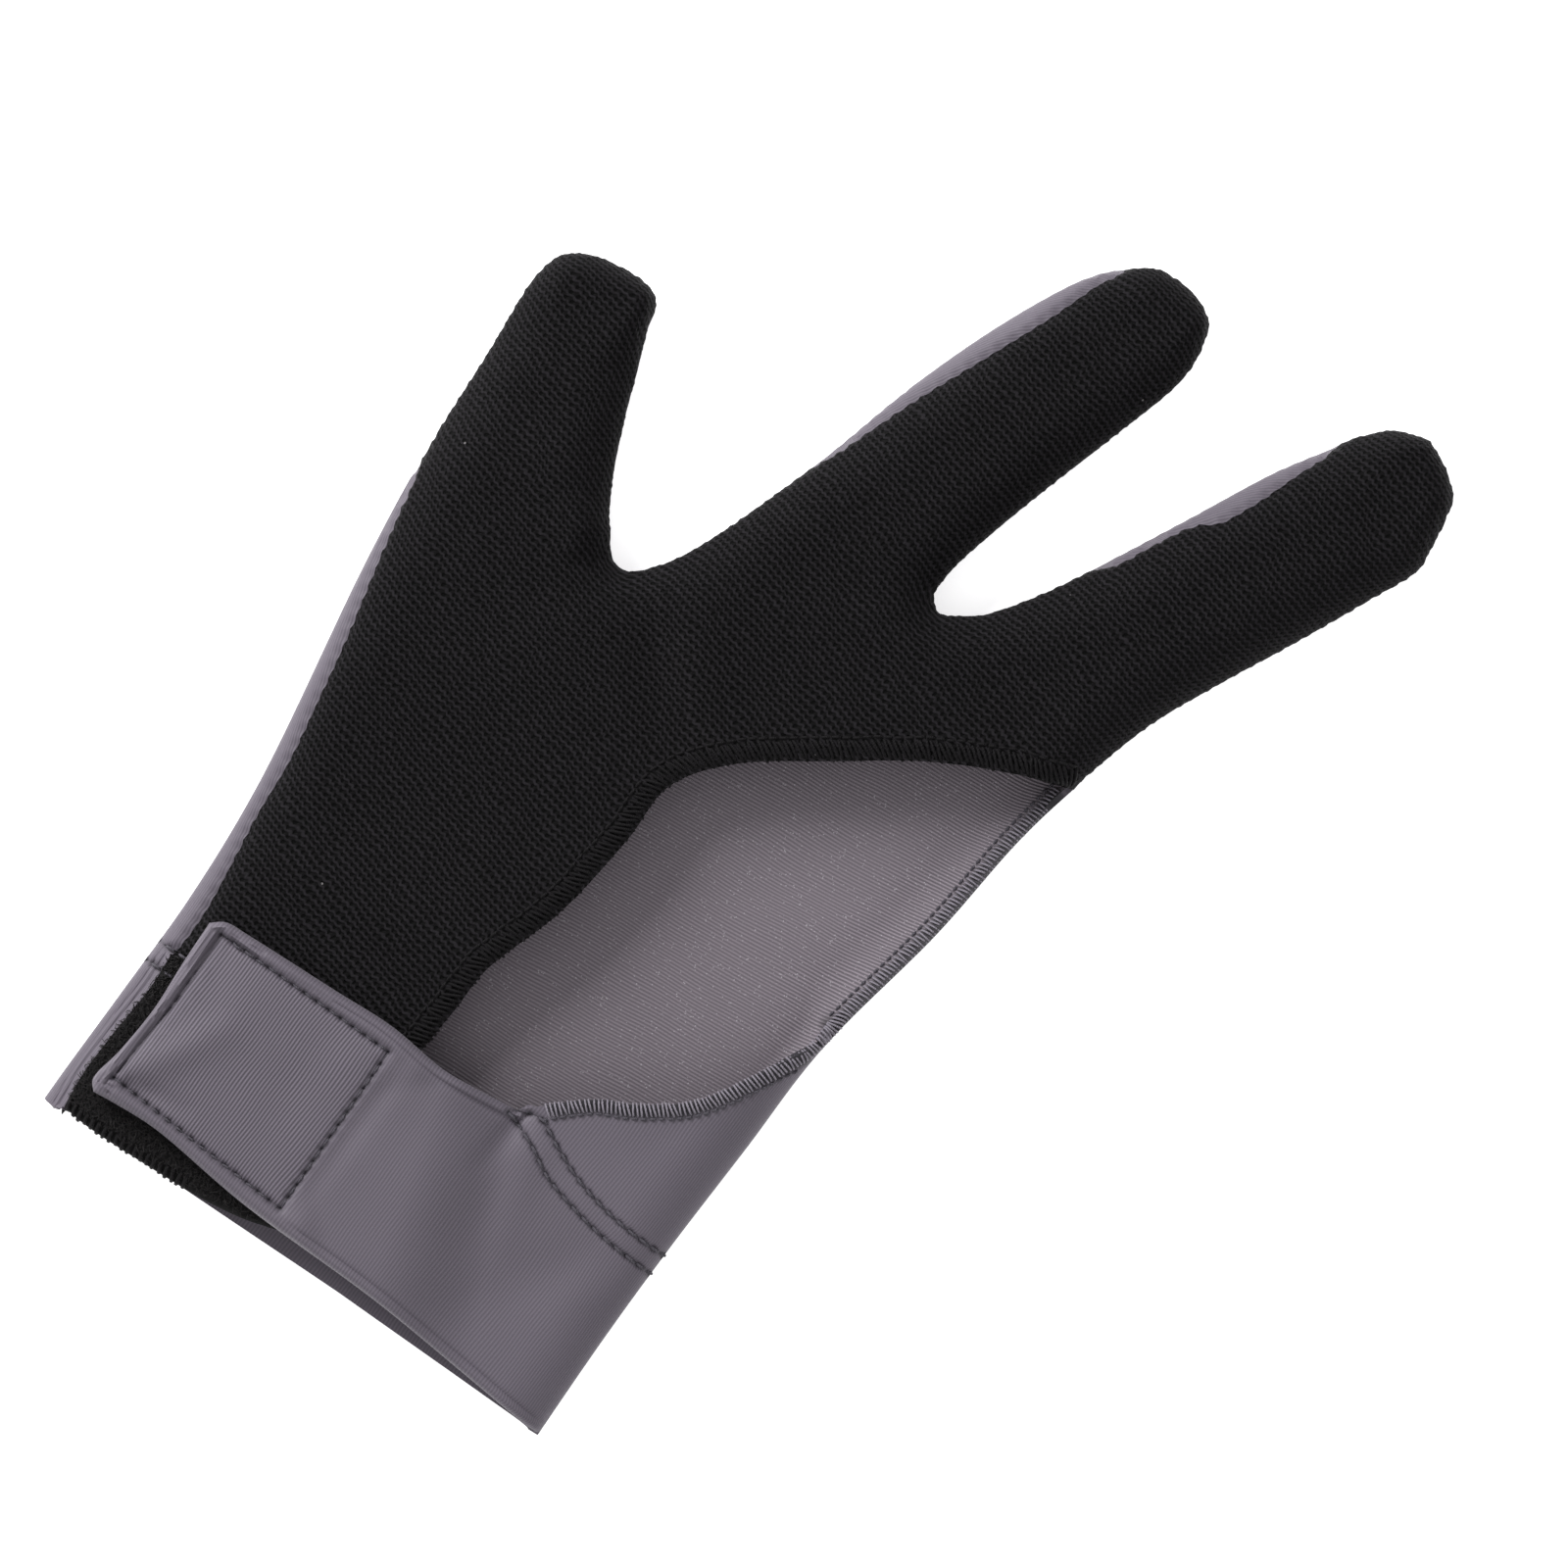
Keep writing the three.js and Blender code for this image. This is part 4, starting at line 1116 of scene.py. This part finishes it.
strap_verts, strap_faces = cut_plan(
    "top",
    strap_region,
    [free_edge, upper_row, tab_box],
    [
        (tab_box, ROW_SIDES),
        (upper_row, ROW_SIDES),
        (lower_row, (0, *ROW_SIDES)),
        (free_edge, (-0.16, -0.45, -0.8, -1.15, -1.5, -1.85, -2.2, -2.7, -3.3)),
    ],
)
band_verts, band_faces = cut_plan(
    "floor",
    band_region,
    [back_upper_row, band_bottom],
    [
        (back_upper_row, ROW_SIDES),
        (back_lower_row, (0, *ROW_SIDES)),
        (band_bottom, (0.5, -0.5)),
    ],
)
rim_verts, rim_faces = cut_plan(
    "top",
    rim_region,
    [patch_seam, rim_end, patch_top],
    [
        (patch_seam, (-2.1, -1.8, -1.5, -1.2, -0.9, -0.6, -0.3)),
        (rim_rows[0], ROW_SIDES),
        (rim_rows[1], (0, *ROW_SIDES)),
    ],
)
print("strap faces:", len(strap_faces), "band:", len(band_faces), "rim:", len(rim_faces))

# %% The strap as one piece
TAB_ROWS = [*BOX_SIDES, upper_row, lower_row]
TAB_LEVEL = 6
RIM_LEVEL = 9.8


def rim_surface(points):
    """The rim's height, with two fine folds beside the loop patch."""
    away = Line(patch_seam).away(points)
    return top_surface(points) - rim_pull - 0.35 * (bell(away, 0.9, 0.25) + bell(away, 1.8, 0.25))


strap_pull, _ = sewn(strap_verts, TAB_ROWS, [BOX_CREASE])
band_pull, _ = sewn(band_verts, BACK_ROWS)
rim_pull, _ = sewn(rim_verts, RIM_ROWS)
strap = make_cloth(
    "strap_band",
    [
        (strap_verts, strap_faces, strap_surface(strap_verts) - strap_pull, True),
        (band_verts, band_faces, floor_surface(band_verts) + band_pull, False),
        (rim_verts, rim_faces, rim_surface(rim_verts), True),
    ],
)


def strap_painted_shade(place):
    """Painted shade in the holes: only the tab's own surface has the tab's, and only the underside
    has the back's.
    """
    _, top = sewn(place[:, :2], [*TAB_ROWS, *RIM_ROWS], [BOX_CREASE])
    _, under = sewn(place[:, :2], BACK_ROWS)
    return np.where(place[:, 2] > TAB_LEVEL, top, under)


strap_place = positions(strap)
mark_laid_out(strap, wrapped=lambda place: (place[:, 0] < -15) & (place[:, 2] < RIM_LEVEL))
mark_stretched(strap, inside(TAB_BOX, strap_place[:, :2]) & (strap_place[:, 2] > TAB_LEVEL))
mark_painted_shade(strap, [], strap_painted_shade)
strap.data.materials.append(JERSEY_FACE)
thicken(strap, STRAP_CLOTH)
finish_piece(strap, "wrist_strap")

# %% [markdown]
# ## The loop patch and the hook tape
# Only a narrow strip of the loop patch shows round the tab. The hook tape is hidden under the tab,
# so its node stays as it is and only gets a woven black finish.

# %% Cut the loop patch
PATCH_HEM = 2.6
PATCH_CLOTH = 1.1

patch_region = np.vstack([patch_top[patch_top[:, 0] > -26], patch_bottom, patch_seam[::-1][5:]])
patch_edge = Line(patch_bottom)


def patch_surface(points):
    from_edge = patch_edge.away(points)
    hem = 0.45 * bell(from_edge, PATCH_HEM, 0.6)
    rough = 0.14 * uneven(points, 1.3, 3.5)
    return top_surface(points) + hem + rough - 0.6 * (1 - round_over(from_edge / 1.2)) - 0.1


patch_verts, patch_faces = cut_plan(
    "top",
    patch_region,
    [patch_top, patch_bottom, patch_seam],
    [(patch_bottom, (-0.3, -0.8, -1.4, -2.0, -2.6, -3.2)), (patch_seam, (0.3, 0.8))],
)
patch_heights = patch_surface(patch_verts)
patch = make_cloth("loop_pile_patch", [(patch_verts, patch_faces, patch_heights, True)])
patch.data.materials.append(LOOP_PILE)
thicken(patch, PATCH_CLOTH)
finish_piece(patch, "loop_patch")

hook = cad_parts["hook_tape"]
hook.data.materials.clear()
hook.data.materials.append(HOOK_TAPE)

# %% [markdown]
# ## Stitches
# A row of stitches is one thread that dips through the cloth at even steps. Geometry Nodes make
# it: the row is cut at the stitch pitch, and each step gets a short bow of thread, turned along the
# row and away from the cloth. The way out of the cloth is kept on the row as an attribute named
# outward.

# %% Rows on the cloth
SLOPE_GAP = 0.4


def slope_of(surface, plan, sign=1):
    """The way out of the cloth at these plan points."""
    dx, dy = (
        (surface(plan + step) - surface(plan - np.array(step))) / (2 * SLOPE_GAP)
        for step in ((SLOPE_GAP, 0), (0, SLOPE_GAP))
    )
    out = np.column_stack([-dx, -dy, np.ones(len(plan))]) * sign
    return out / np.linalg.norm(out, axis=1)[:, None]


def path_mesh(name, rows):
    """Open lines in space with their way out. rows are (points, outward)."""
    mesh = bpy.data.meshes.new(name)
    edges, first = [], 0
    for p, _ in rows:
        edges += [(first + i, first + i + 1) for i in range(len(p) - 1)]
        first += len(p)
    mesh.from_pydata((np.vstack([p for p, _ in rows]) * MM).tolist(), edges, [])
    keep(mesh, "outward", np.vstack([out for _, out in rows]))
    return new_object(name, mesh)


def on_cloth(row, surface, lift, sign=1, margin=0.9):
    """A plan row lifted onto a surface, clear of the outline by a margin, and its way out."""
    row = row[inside(OUTLINE, row) & (outline_line.away(row) > margin)]
    out = slope_of(surface, row, sign)
    return np.column_stack([row, surface(row)]) + out * lift, out


# %% Helpers for the trees
def new_tree(name, sizes):
    """A tree that is given a path and these sizes in millimetres, and what it is given."""
    tree = bpy.data.node_groups.new(name, "GeometryNodeTree")
    sockets = tree.interface
    sockets.new_socket("Path", in_out="INPUT", socket_type="NodeSocketGeometry")
    for size, value in sizes.items():
        socket = sockets.new_socket(size, in_out="INPUT", socket_type="NodeSocketFloat")
        socket.default_value = value * MM
    sockets.new_socket("Geometry", in_out="OUTPUT", socket_type="NodeSocketGeometry")
    return tree, tree.nodes.new("NodeGroupInput").outputs


def finish_tree(tree, inputs, material):
    """Puts a shape on points, makes it real and smooth, and gives it its material."""
    placed = add(tree, "GeometryNodeInstanceOnPoints", inputs)
    real = add(tree, "GeometryNodeRealizeInstances", {0: placed})
    smooth = add(tree, "GeometryNodeSetShadeSmooth", {"Geometry": real})
    painted = add(tree, "GeometryNodeSetMaterial", {"Geometry": smooth, "Material": material})
    tree.links.new(painted, tree.nodes.new("NodeGroupOutput").inputs[0])
    return tree


def point_at(tree, **axes):
    return add(tree, "ShaderNodeCombineXYZ", {"XYZ".index(axis): v for axis, v in axes.items()})


def bow_of(tree, resolution, start, middle, end):
    shape = {"Resolution": resolution, "Start": start, "Middle": middle, "End": end}
    return add(tree, "GeometryNodeCurveQuadraticBezier", shape)


def circle_of(tree, corners, radius):
    shape = {"Resolution": corners, "Radius": radius}
    return add(tree, "GeometryNodeCurvePrimitiveCircle", shape)


def thread_along(tree, curve, corners, radius, caps=True):
    ring = circle_of(tree, corners, radius)
    shape = {"Curve": curve, "Profile Curve": ring, "Fill Caps": caps}
    return add(tree, "GeometryNodeCurveToMesh", shape)


def random_vector(tree, low, high, seed):
    values = {0: low, 1: high, "Seed": seed}
    return add(tree, "FunctionNodeRandomValue", values, data_type="FLOAT_VECTOR")


def leaning(tree, rotation, low, high, seed):
    """The rotation, with each one turned on by a random amount about its own axes."""
    turn = {"Rotation": rotation, "Rotate By": random_vector(tree, low, high, seed)}
    return add(tree, "FunctionNodeRotateRotation", turn, rotation_space="LOCAL")


# %% The tree for a row of stitches
LEAN_SEED = 5
SIZE_SEED = 11


def along_path(tree, given, shape, material, loose_degrees=0, uneven_size=0):
    """Puts the shape at even steps along the path, turned along it and out of the cloth. Each one
    may lie a little askew and be a little larger or smaller, always in the same way."""
    curve = add(tree, "GeometryNodeMeshToCurve", {"Mesh": given["Path"]})
    steps = {"Curve": curve, "Length": given["Pitch"]}
    even = add(tree, "GeometryNodeResampleCurve", steps, mode="LENGTH")
    named = {"Name": "outward"}
    out = add(tree, "GeometryNodeInputNamedAttribute", named, data_type="FLOAT_VECTOR")
    ways = {"Primary Axis": out, "Secondary Axis": add(tree, "GeometryNodeInputTangent")}
    turned = add(tree, "FunctionNodeAxesToRotation", ways, primary_axis="Z", secondary_axis="X")
    askew = math.radians(loose_degrees)
    low, high = (-askew / 3, -askew / 3, -askew), (askew / 3, askew / 3, askew)
    turned = leaning(tree, turned, low, high, LEAN_SEED)
    size = random_vector(tree, (1 - uneven_size,) * 3, (1 + uneven_size,) * 3, SIZE_SEED)
    placing = {"Points": even, "Instance": shape, "Rotation": turned, "Scale": size}
    return finish_tree(tree, placing, material)


def stitch_tree(name, material):
    sizes = {"Pitch": 2.2, "Gap": 0.3, "Rise": 0.7, "Dip": 0.3, "Thread": 0.2}
    tree, given = new_tree(name, sizes)
    far_end = math_of(tree, "SUBTRACT", given["Pitch"], given["Gap"])
    low = times(tree, given["Dip"], -1.0)
    start = point_at(tree, X=given["Gap"], Z=low)
    top = point_at(tree, X=times(tree, given["Pitch"], 0.5), Z=given["Rise"])
    bow = bow_of(tree, 6, start, top, point_at(tree, X=far_end, Z=low))
    stitch = thread_along(tree, bow, 7, given["Thread"])
    return along_path(tree, given, stitch, material)


def sew(path, tree, sizes):
    """Runs a tree on a path with sizes in millimetres, and leaves a plain mesh."""
    nodes = path.modifiers.new("sewing", "NODES")
    nodes.node_group = tree
    for item in tree.interface.items_tree:
        if item.in_out == "INPUT" and item.name in sizes:
            nodes[item.identifier] = sizes[item.name] * MM
    return applied(path)


def sewn_piece(name, rows, tree, slot, node=None, **sizes):
    """Rows of thread as one piece."""
    finish_piece(sew(path_mesh(name, rows), tree, sizes), node)


# %% Sew the tab, the wrist rows and the rows round the back
BACK_LIFT = -0.35

sewn_piece(
    "tab_stitches", [on_cloth(row, strap_surface, -0.15) for row in BOX_SIDES],
    stitch_tree("tab_stitch", DARK_THREAD), "grey_overlock",
    Pitch=STITCH_PITCH, Gap=0.35, Rise=0.5, Dip=0.4, Thread=0.18,
)
wrist_rows = [
    *[on_cloth(row, strap_surface, -0.05) for row in (upper_row, lower_row)],
    *[on_cloth(row, top_surface, 0) for row in rim_rows],
    *[on_cloth(row, floor_surface, BACK_LIFT, -1) for row in BACK_ROWS],
]
sewn_piece(
    "wrist_stitches", wrist_rows, stitch_tree("wrist_stitch", DARK_THREAD), "grey_overlock",
    Pitch=STITCH_PITCH, Gap=0.25, Rise=0.65, Dip=0.4, Thread=0.24,
)

# %% [markdown]
# ## Overlocked edges
# An overlock binds a raw edge: threads cross the edge side by side and wrap round it, and a line of
# stitches holds them on the inner side. Each loop is a flat ring of thread round the cloth's edge.

# %% The tree for an overlock
LOOSE_LOOPS = 8
UNEVEN_LOOPS = 0.09


def overlock_tree(name, material, slant_degrees):
    tree, given = new_tree(name, {"Pitch": 0.6, "Width": 2.4, "Height": 1.6, "Thread": 0.2})
    loop = circle_of(tree, 14, 0.5)
    size = point_at(tree, X=given["Width"], Y=given["Height"], Z=1.0)
    flat = add(tree, "GeometryNodeTransform", {"Geometry": loop, "Scale": size})
    angles = (math.pi / 2, 0, math.pi / 2 + math.radians(slant_degrees))
    stood = add(tree, "GeometryNodeTransform", {"Geometry": flat, "Rotation": angles})
    thread = thread_along(tree, stood, 6, given["Thread"], False)
    return along_path(tree, given, thread, material, LOOSE_LOOPS, UNEVEN_LOOPS)


# %% The palm's overlock
PALM_BOUND_TO = -70


def wandering(line, amount, size):
    """The line with a slow sideways wander, because no hand-guided edge is sewn dead even."""
    offsets = [noise.noise((i * EDGE_STEP / size, 3.3, 7.7)) for i in range(len(line))]
    steps = beside(line, 1.0) - line
    return line + steps * (amount * np.array(offsets))[:, None]


def along_the_palm(inset, side, lift):
    """A path beside the palm's free edge, as far as the tab and the outline."""
    path = wandering(beside(palm_edge, -inset), 0.3, 4)
    return [on_cloth(left_of(path[path[:, 1] > PALM_BOUND_TO], side), top_surface, lift)]


sewn_piece(
    "black_overlock", along_the_palm(1.75, 47.6, -PALM_KNIT / 2),
    overlock_tree("black_loops", BLACK_THREAD, 24), "black_overlock", "palm_edge_bead",
    Pitch=0.8, Width=3.6, Height=1.5, Thread=0.24,
)
sewn_piece(
    "black_chain", along_the_palm(3.6, 46.5, -0.1),
    stitch_tree("black_chain_stitch", BLACK_THREAD), "black_overlock",
    Pitch=1.6, Gap=0.1, Rise=0.6, Dip=0.2, Thread=0.24,
)

# %% The back's overlock, along the heel's free edge and on over the wedge
INSIDE_BY = 0.6
JOIN_SPREAD = 6


def along_the_back(inset, heel_lift, wedge_lift, wedge_start=-18, joined=True):
    """Paths beside the back's free edge: joined, they go over smoothly from heel to wedge."""
    on_edge = (OUTLINE[:, 0] > HEEL_SIDE) & (OUTLINE[:, 1] > -14) & (OUTLINE[:, 1] < 35)
    heel = (OUTLINE + OUTLINE_IN * inset)[on_edge]
    wedge = beside(back_edge, inset)
    wedge = wedge[(wedge[:, 1] < wedge_start) & (wedge[:, 1] > -58.2)]
    distance, index = outline_line.nearest(wedge)
    depth = np.where(inside(OUTLINE, wedge), distance, -distance)
    wedge = wedge + OUTLINE_IN[index] * np.maximum(INSIDE_BY - depth, 0)[:, None]
    parts = [
        on_cloth(heel, floor_surface, heel_lift),
        on_cloth(wedge, top_surface, wedge_lift, margin=0.2),
    ]
    if not joined:
        return parts
    path = evenly(np.vstack([np.hstack(part) for part in parts]), FINE_STEP)
    path = np.column_stack([smoothed(path[:, k], JOIN_SPREAD) for k in range(6)])
    return [(path[:, :3], path[:, 3:])]


sewn_piece(
    "grey_overlock", along_the_back(0.92, BACK_CLOTH / 2, -BACK_CLOTH / 2),
    overlock_tree("grey_loops", GREY_THREAD, 12), "grey_overlock", "back_edge_bead",
    Pitch=0.66, Width=2.15, Height=1.6, Thread=0.17,
)
sewn_piece(
    "grey_chain", along_the_back(2.15, BACK_CLOTH + 0.05, 0.05, -24, False),
    stitch_tree("grey_chain_stitch", DARK_THREAD), "grey_overlock",
    Pitch=1.36, Gap=0.2, Rise=0.5, Dip=0.3, Thread=0.22,
)

# %% [markdown]
# ## The edge of the loop patch
# The patch is bound along its bottom by a coarse black overlock that looks scalloped, and its pile
# is brushed up, so loose fibres stand round it. The fibres are scattered with a fixed seed, only
# where the patch isn't under the tab.

# %% Bind the patch
patch_bound = beside(patch_bottom, -1.0)
patch_bound = left_of(patch_bound[patch_bound[:, 0] > -19.5], 1.5)
sewn_piece(
    "patch_binding", [on_cloth(patch_bound, patch_surface, -0.5)],
    overlock_tree("patch_loops", BLACK_THREAD, 8), "black_overlock",
    Pitch=1.1, Width=2.0, Height=1.5, Thread=0.36,
)

# %% Brush up the pile
FIBRES_PER_SQUARE_METRE = 9e6
FIBRE_SEED = 7
FIBRE_LEAN = 0.9
FIBRE_ROOT = (0, 0, -0.0001)


def fibre_tree(name, material):
    """Scatters short bowed fibres over a surface."""
    tree, given = new_tree(name, {"Length": 0.9, "Thread": 0.06})
    scatter = {"Mesh": given["Path"], "Density": FIBRES_PER_SQUARE_METRE, "Seed": FIBRE_SEED}
    points = add(tree, "GeometryNodeDistributePointsOnFaces", scatter)
    low, high = (-FIBRE_LEAN, -FIBRE_LEAN, 0), (FIBRE_LEAN, FIBRE_LEAN, 6.28)
    turned = leaning(tree, points.node.outputs["Rotation"], low, high, FIBRE_SEED)
    middle = point_at(tree, Z=given["Length"])
    end = point_at(tree, X=given["Length"], Z=0.0)
    bow = bow_of(tree, 4, FIBRE_ROOT, middle, end)
    fibre = thread_along(tree, bow, 3, given["Thread"])
    return finish_tree(tree, {"Points": points, "Instance": fibre, "Rotation": turned}, material)


patch_centres = patch_verts[patch_faces].mean(1)
open_pile = ~inside(strap_region, patch_centres) | (free_edge_line.away(patch_centres) < 1)
open_pile &= patch_edge.away(patch_centres) > np.where(patch_centres[:, 0] < 2, 1.6, 0.7)
brushed = [(patch_verts, patch_faces[open_pile], patch_heights, True)]
pile_fibres = make_cloth("pile_fibres", brushed)
# The fibres take the pile's paler copy, which is painted light.
sew(pile_fibres, fibre_tree("fibres", LIT_PILE_FIBRE), {"Length": 0.9, "Thread": 0.06})
finish_piece(pile_fibres, None)

# %% [markdown]
# ## The room
# A catalogue picture is taken on a light table: a white floor that is itself a little bright, so
# that the shadows round the cloth nearly vanish. Soft light comes from all round, and one larger
# light from the thumb side, so that the folds and the stitches still show.

# %% Floor and lights
FLOOR_GLOW = 0.6
FLOOR_DROP = 0.2
WORLD_LIGHT = 0.7
WHITE = linear("#ffffff")

floor_mesh = bpy.data.meshes.new("table")
floor_mesh.from_pydata([(-2, -2, 0), (2, -2, 0), (2, 2, 0), (-2, 2, 0)], [], [(0, 1, 2, 3)])
table = new_object("table", floor_mesh)
table.location.z = -FLOOR_DROP * MM
table_paint = bpy.data.materials.new("table_paint")
table_paint.use_nodes = True
paint = table_paint.node_tree
paint_looks = {"Base Color": linear("#fafafa"), "Roughness": 0.9}
paint_looks |= {"Emission Color": WHITE, "Emission Strength": FLOOR_GLOW}
set_inputs(paint, paint.nodes["Principled BSDF"], paint_looks)
floor_mesh.materials.append(table_paint)

world = bpy.data.worlds.new("studio")
bpy.context.scene.world = world
world.use_nodes = True
sky = world.node_tree
set_inputs(sky, sky.nodes["Background"], {"Color": WHITE, "Strength": WORLD_LIGHT})


def soft_light(name, place, size, power):
    light = bpy.data.lights.new(name, "AREA")
    light.shape = "SQUARE"
    light.size = size
    light.energy = power
    obj = new_object(name, light)
    obj.location = place
    obj.rotation_euler = (-Vector(place)).to_track_quat("-Z", "Y").to_euler()


soft_light("key_light", (-1.1, 0.05, 0.6), 0.6, 20.5)
soft_light("fill_light", (0.7, -0.4, 1.0), 1.0, 2)
bpy.context.scene.view_settings.view_transform = "Standard"
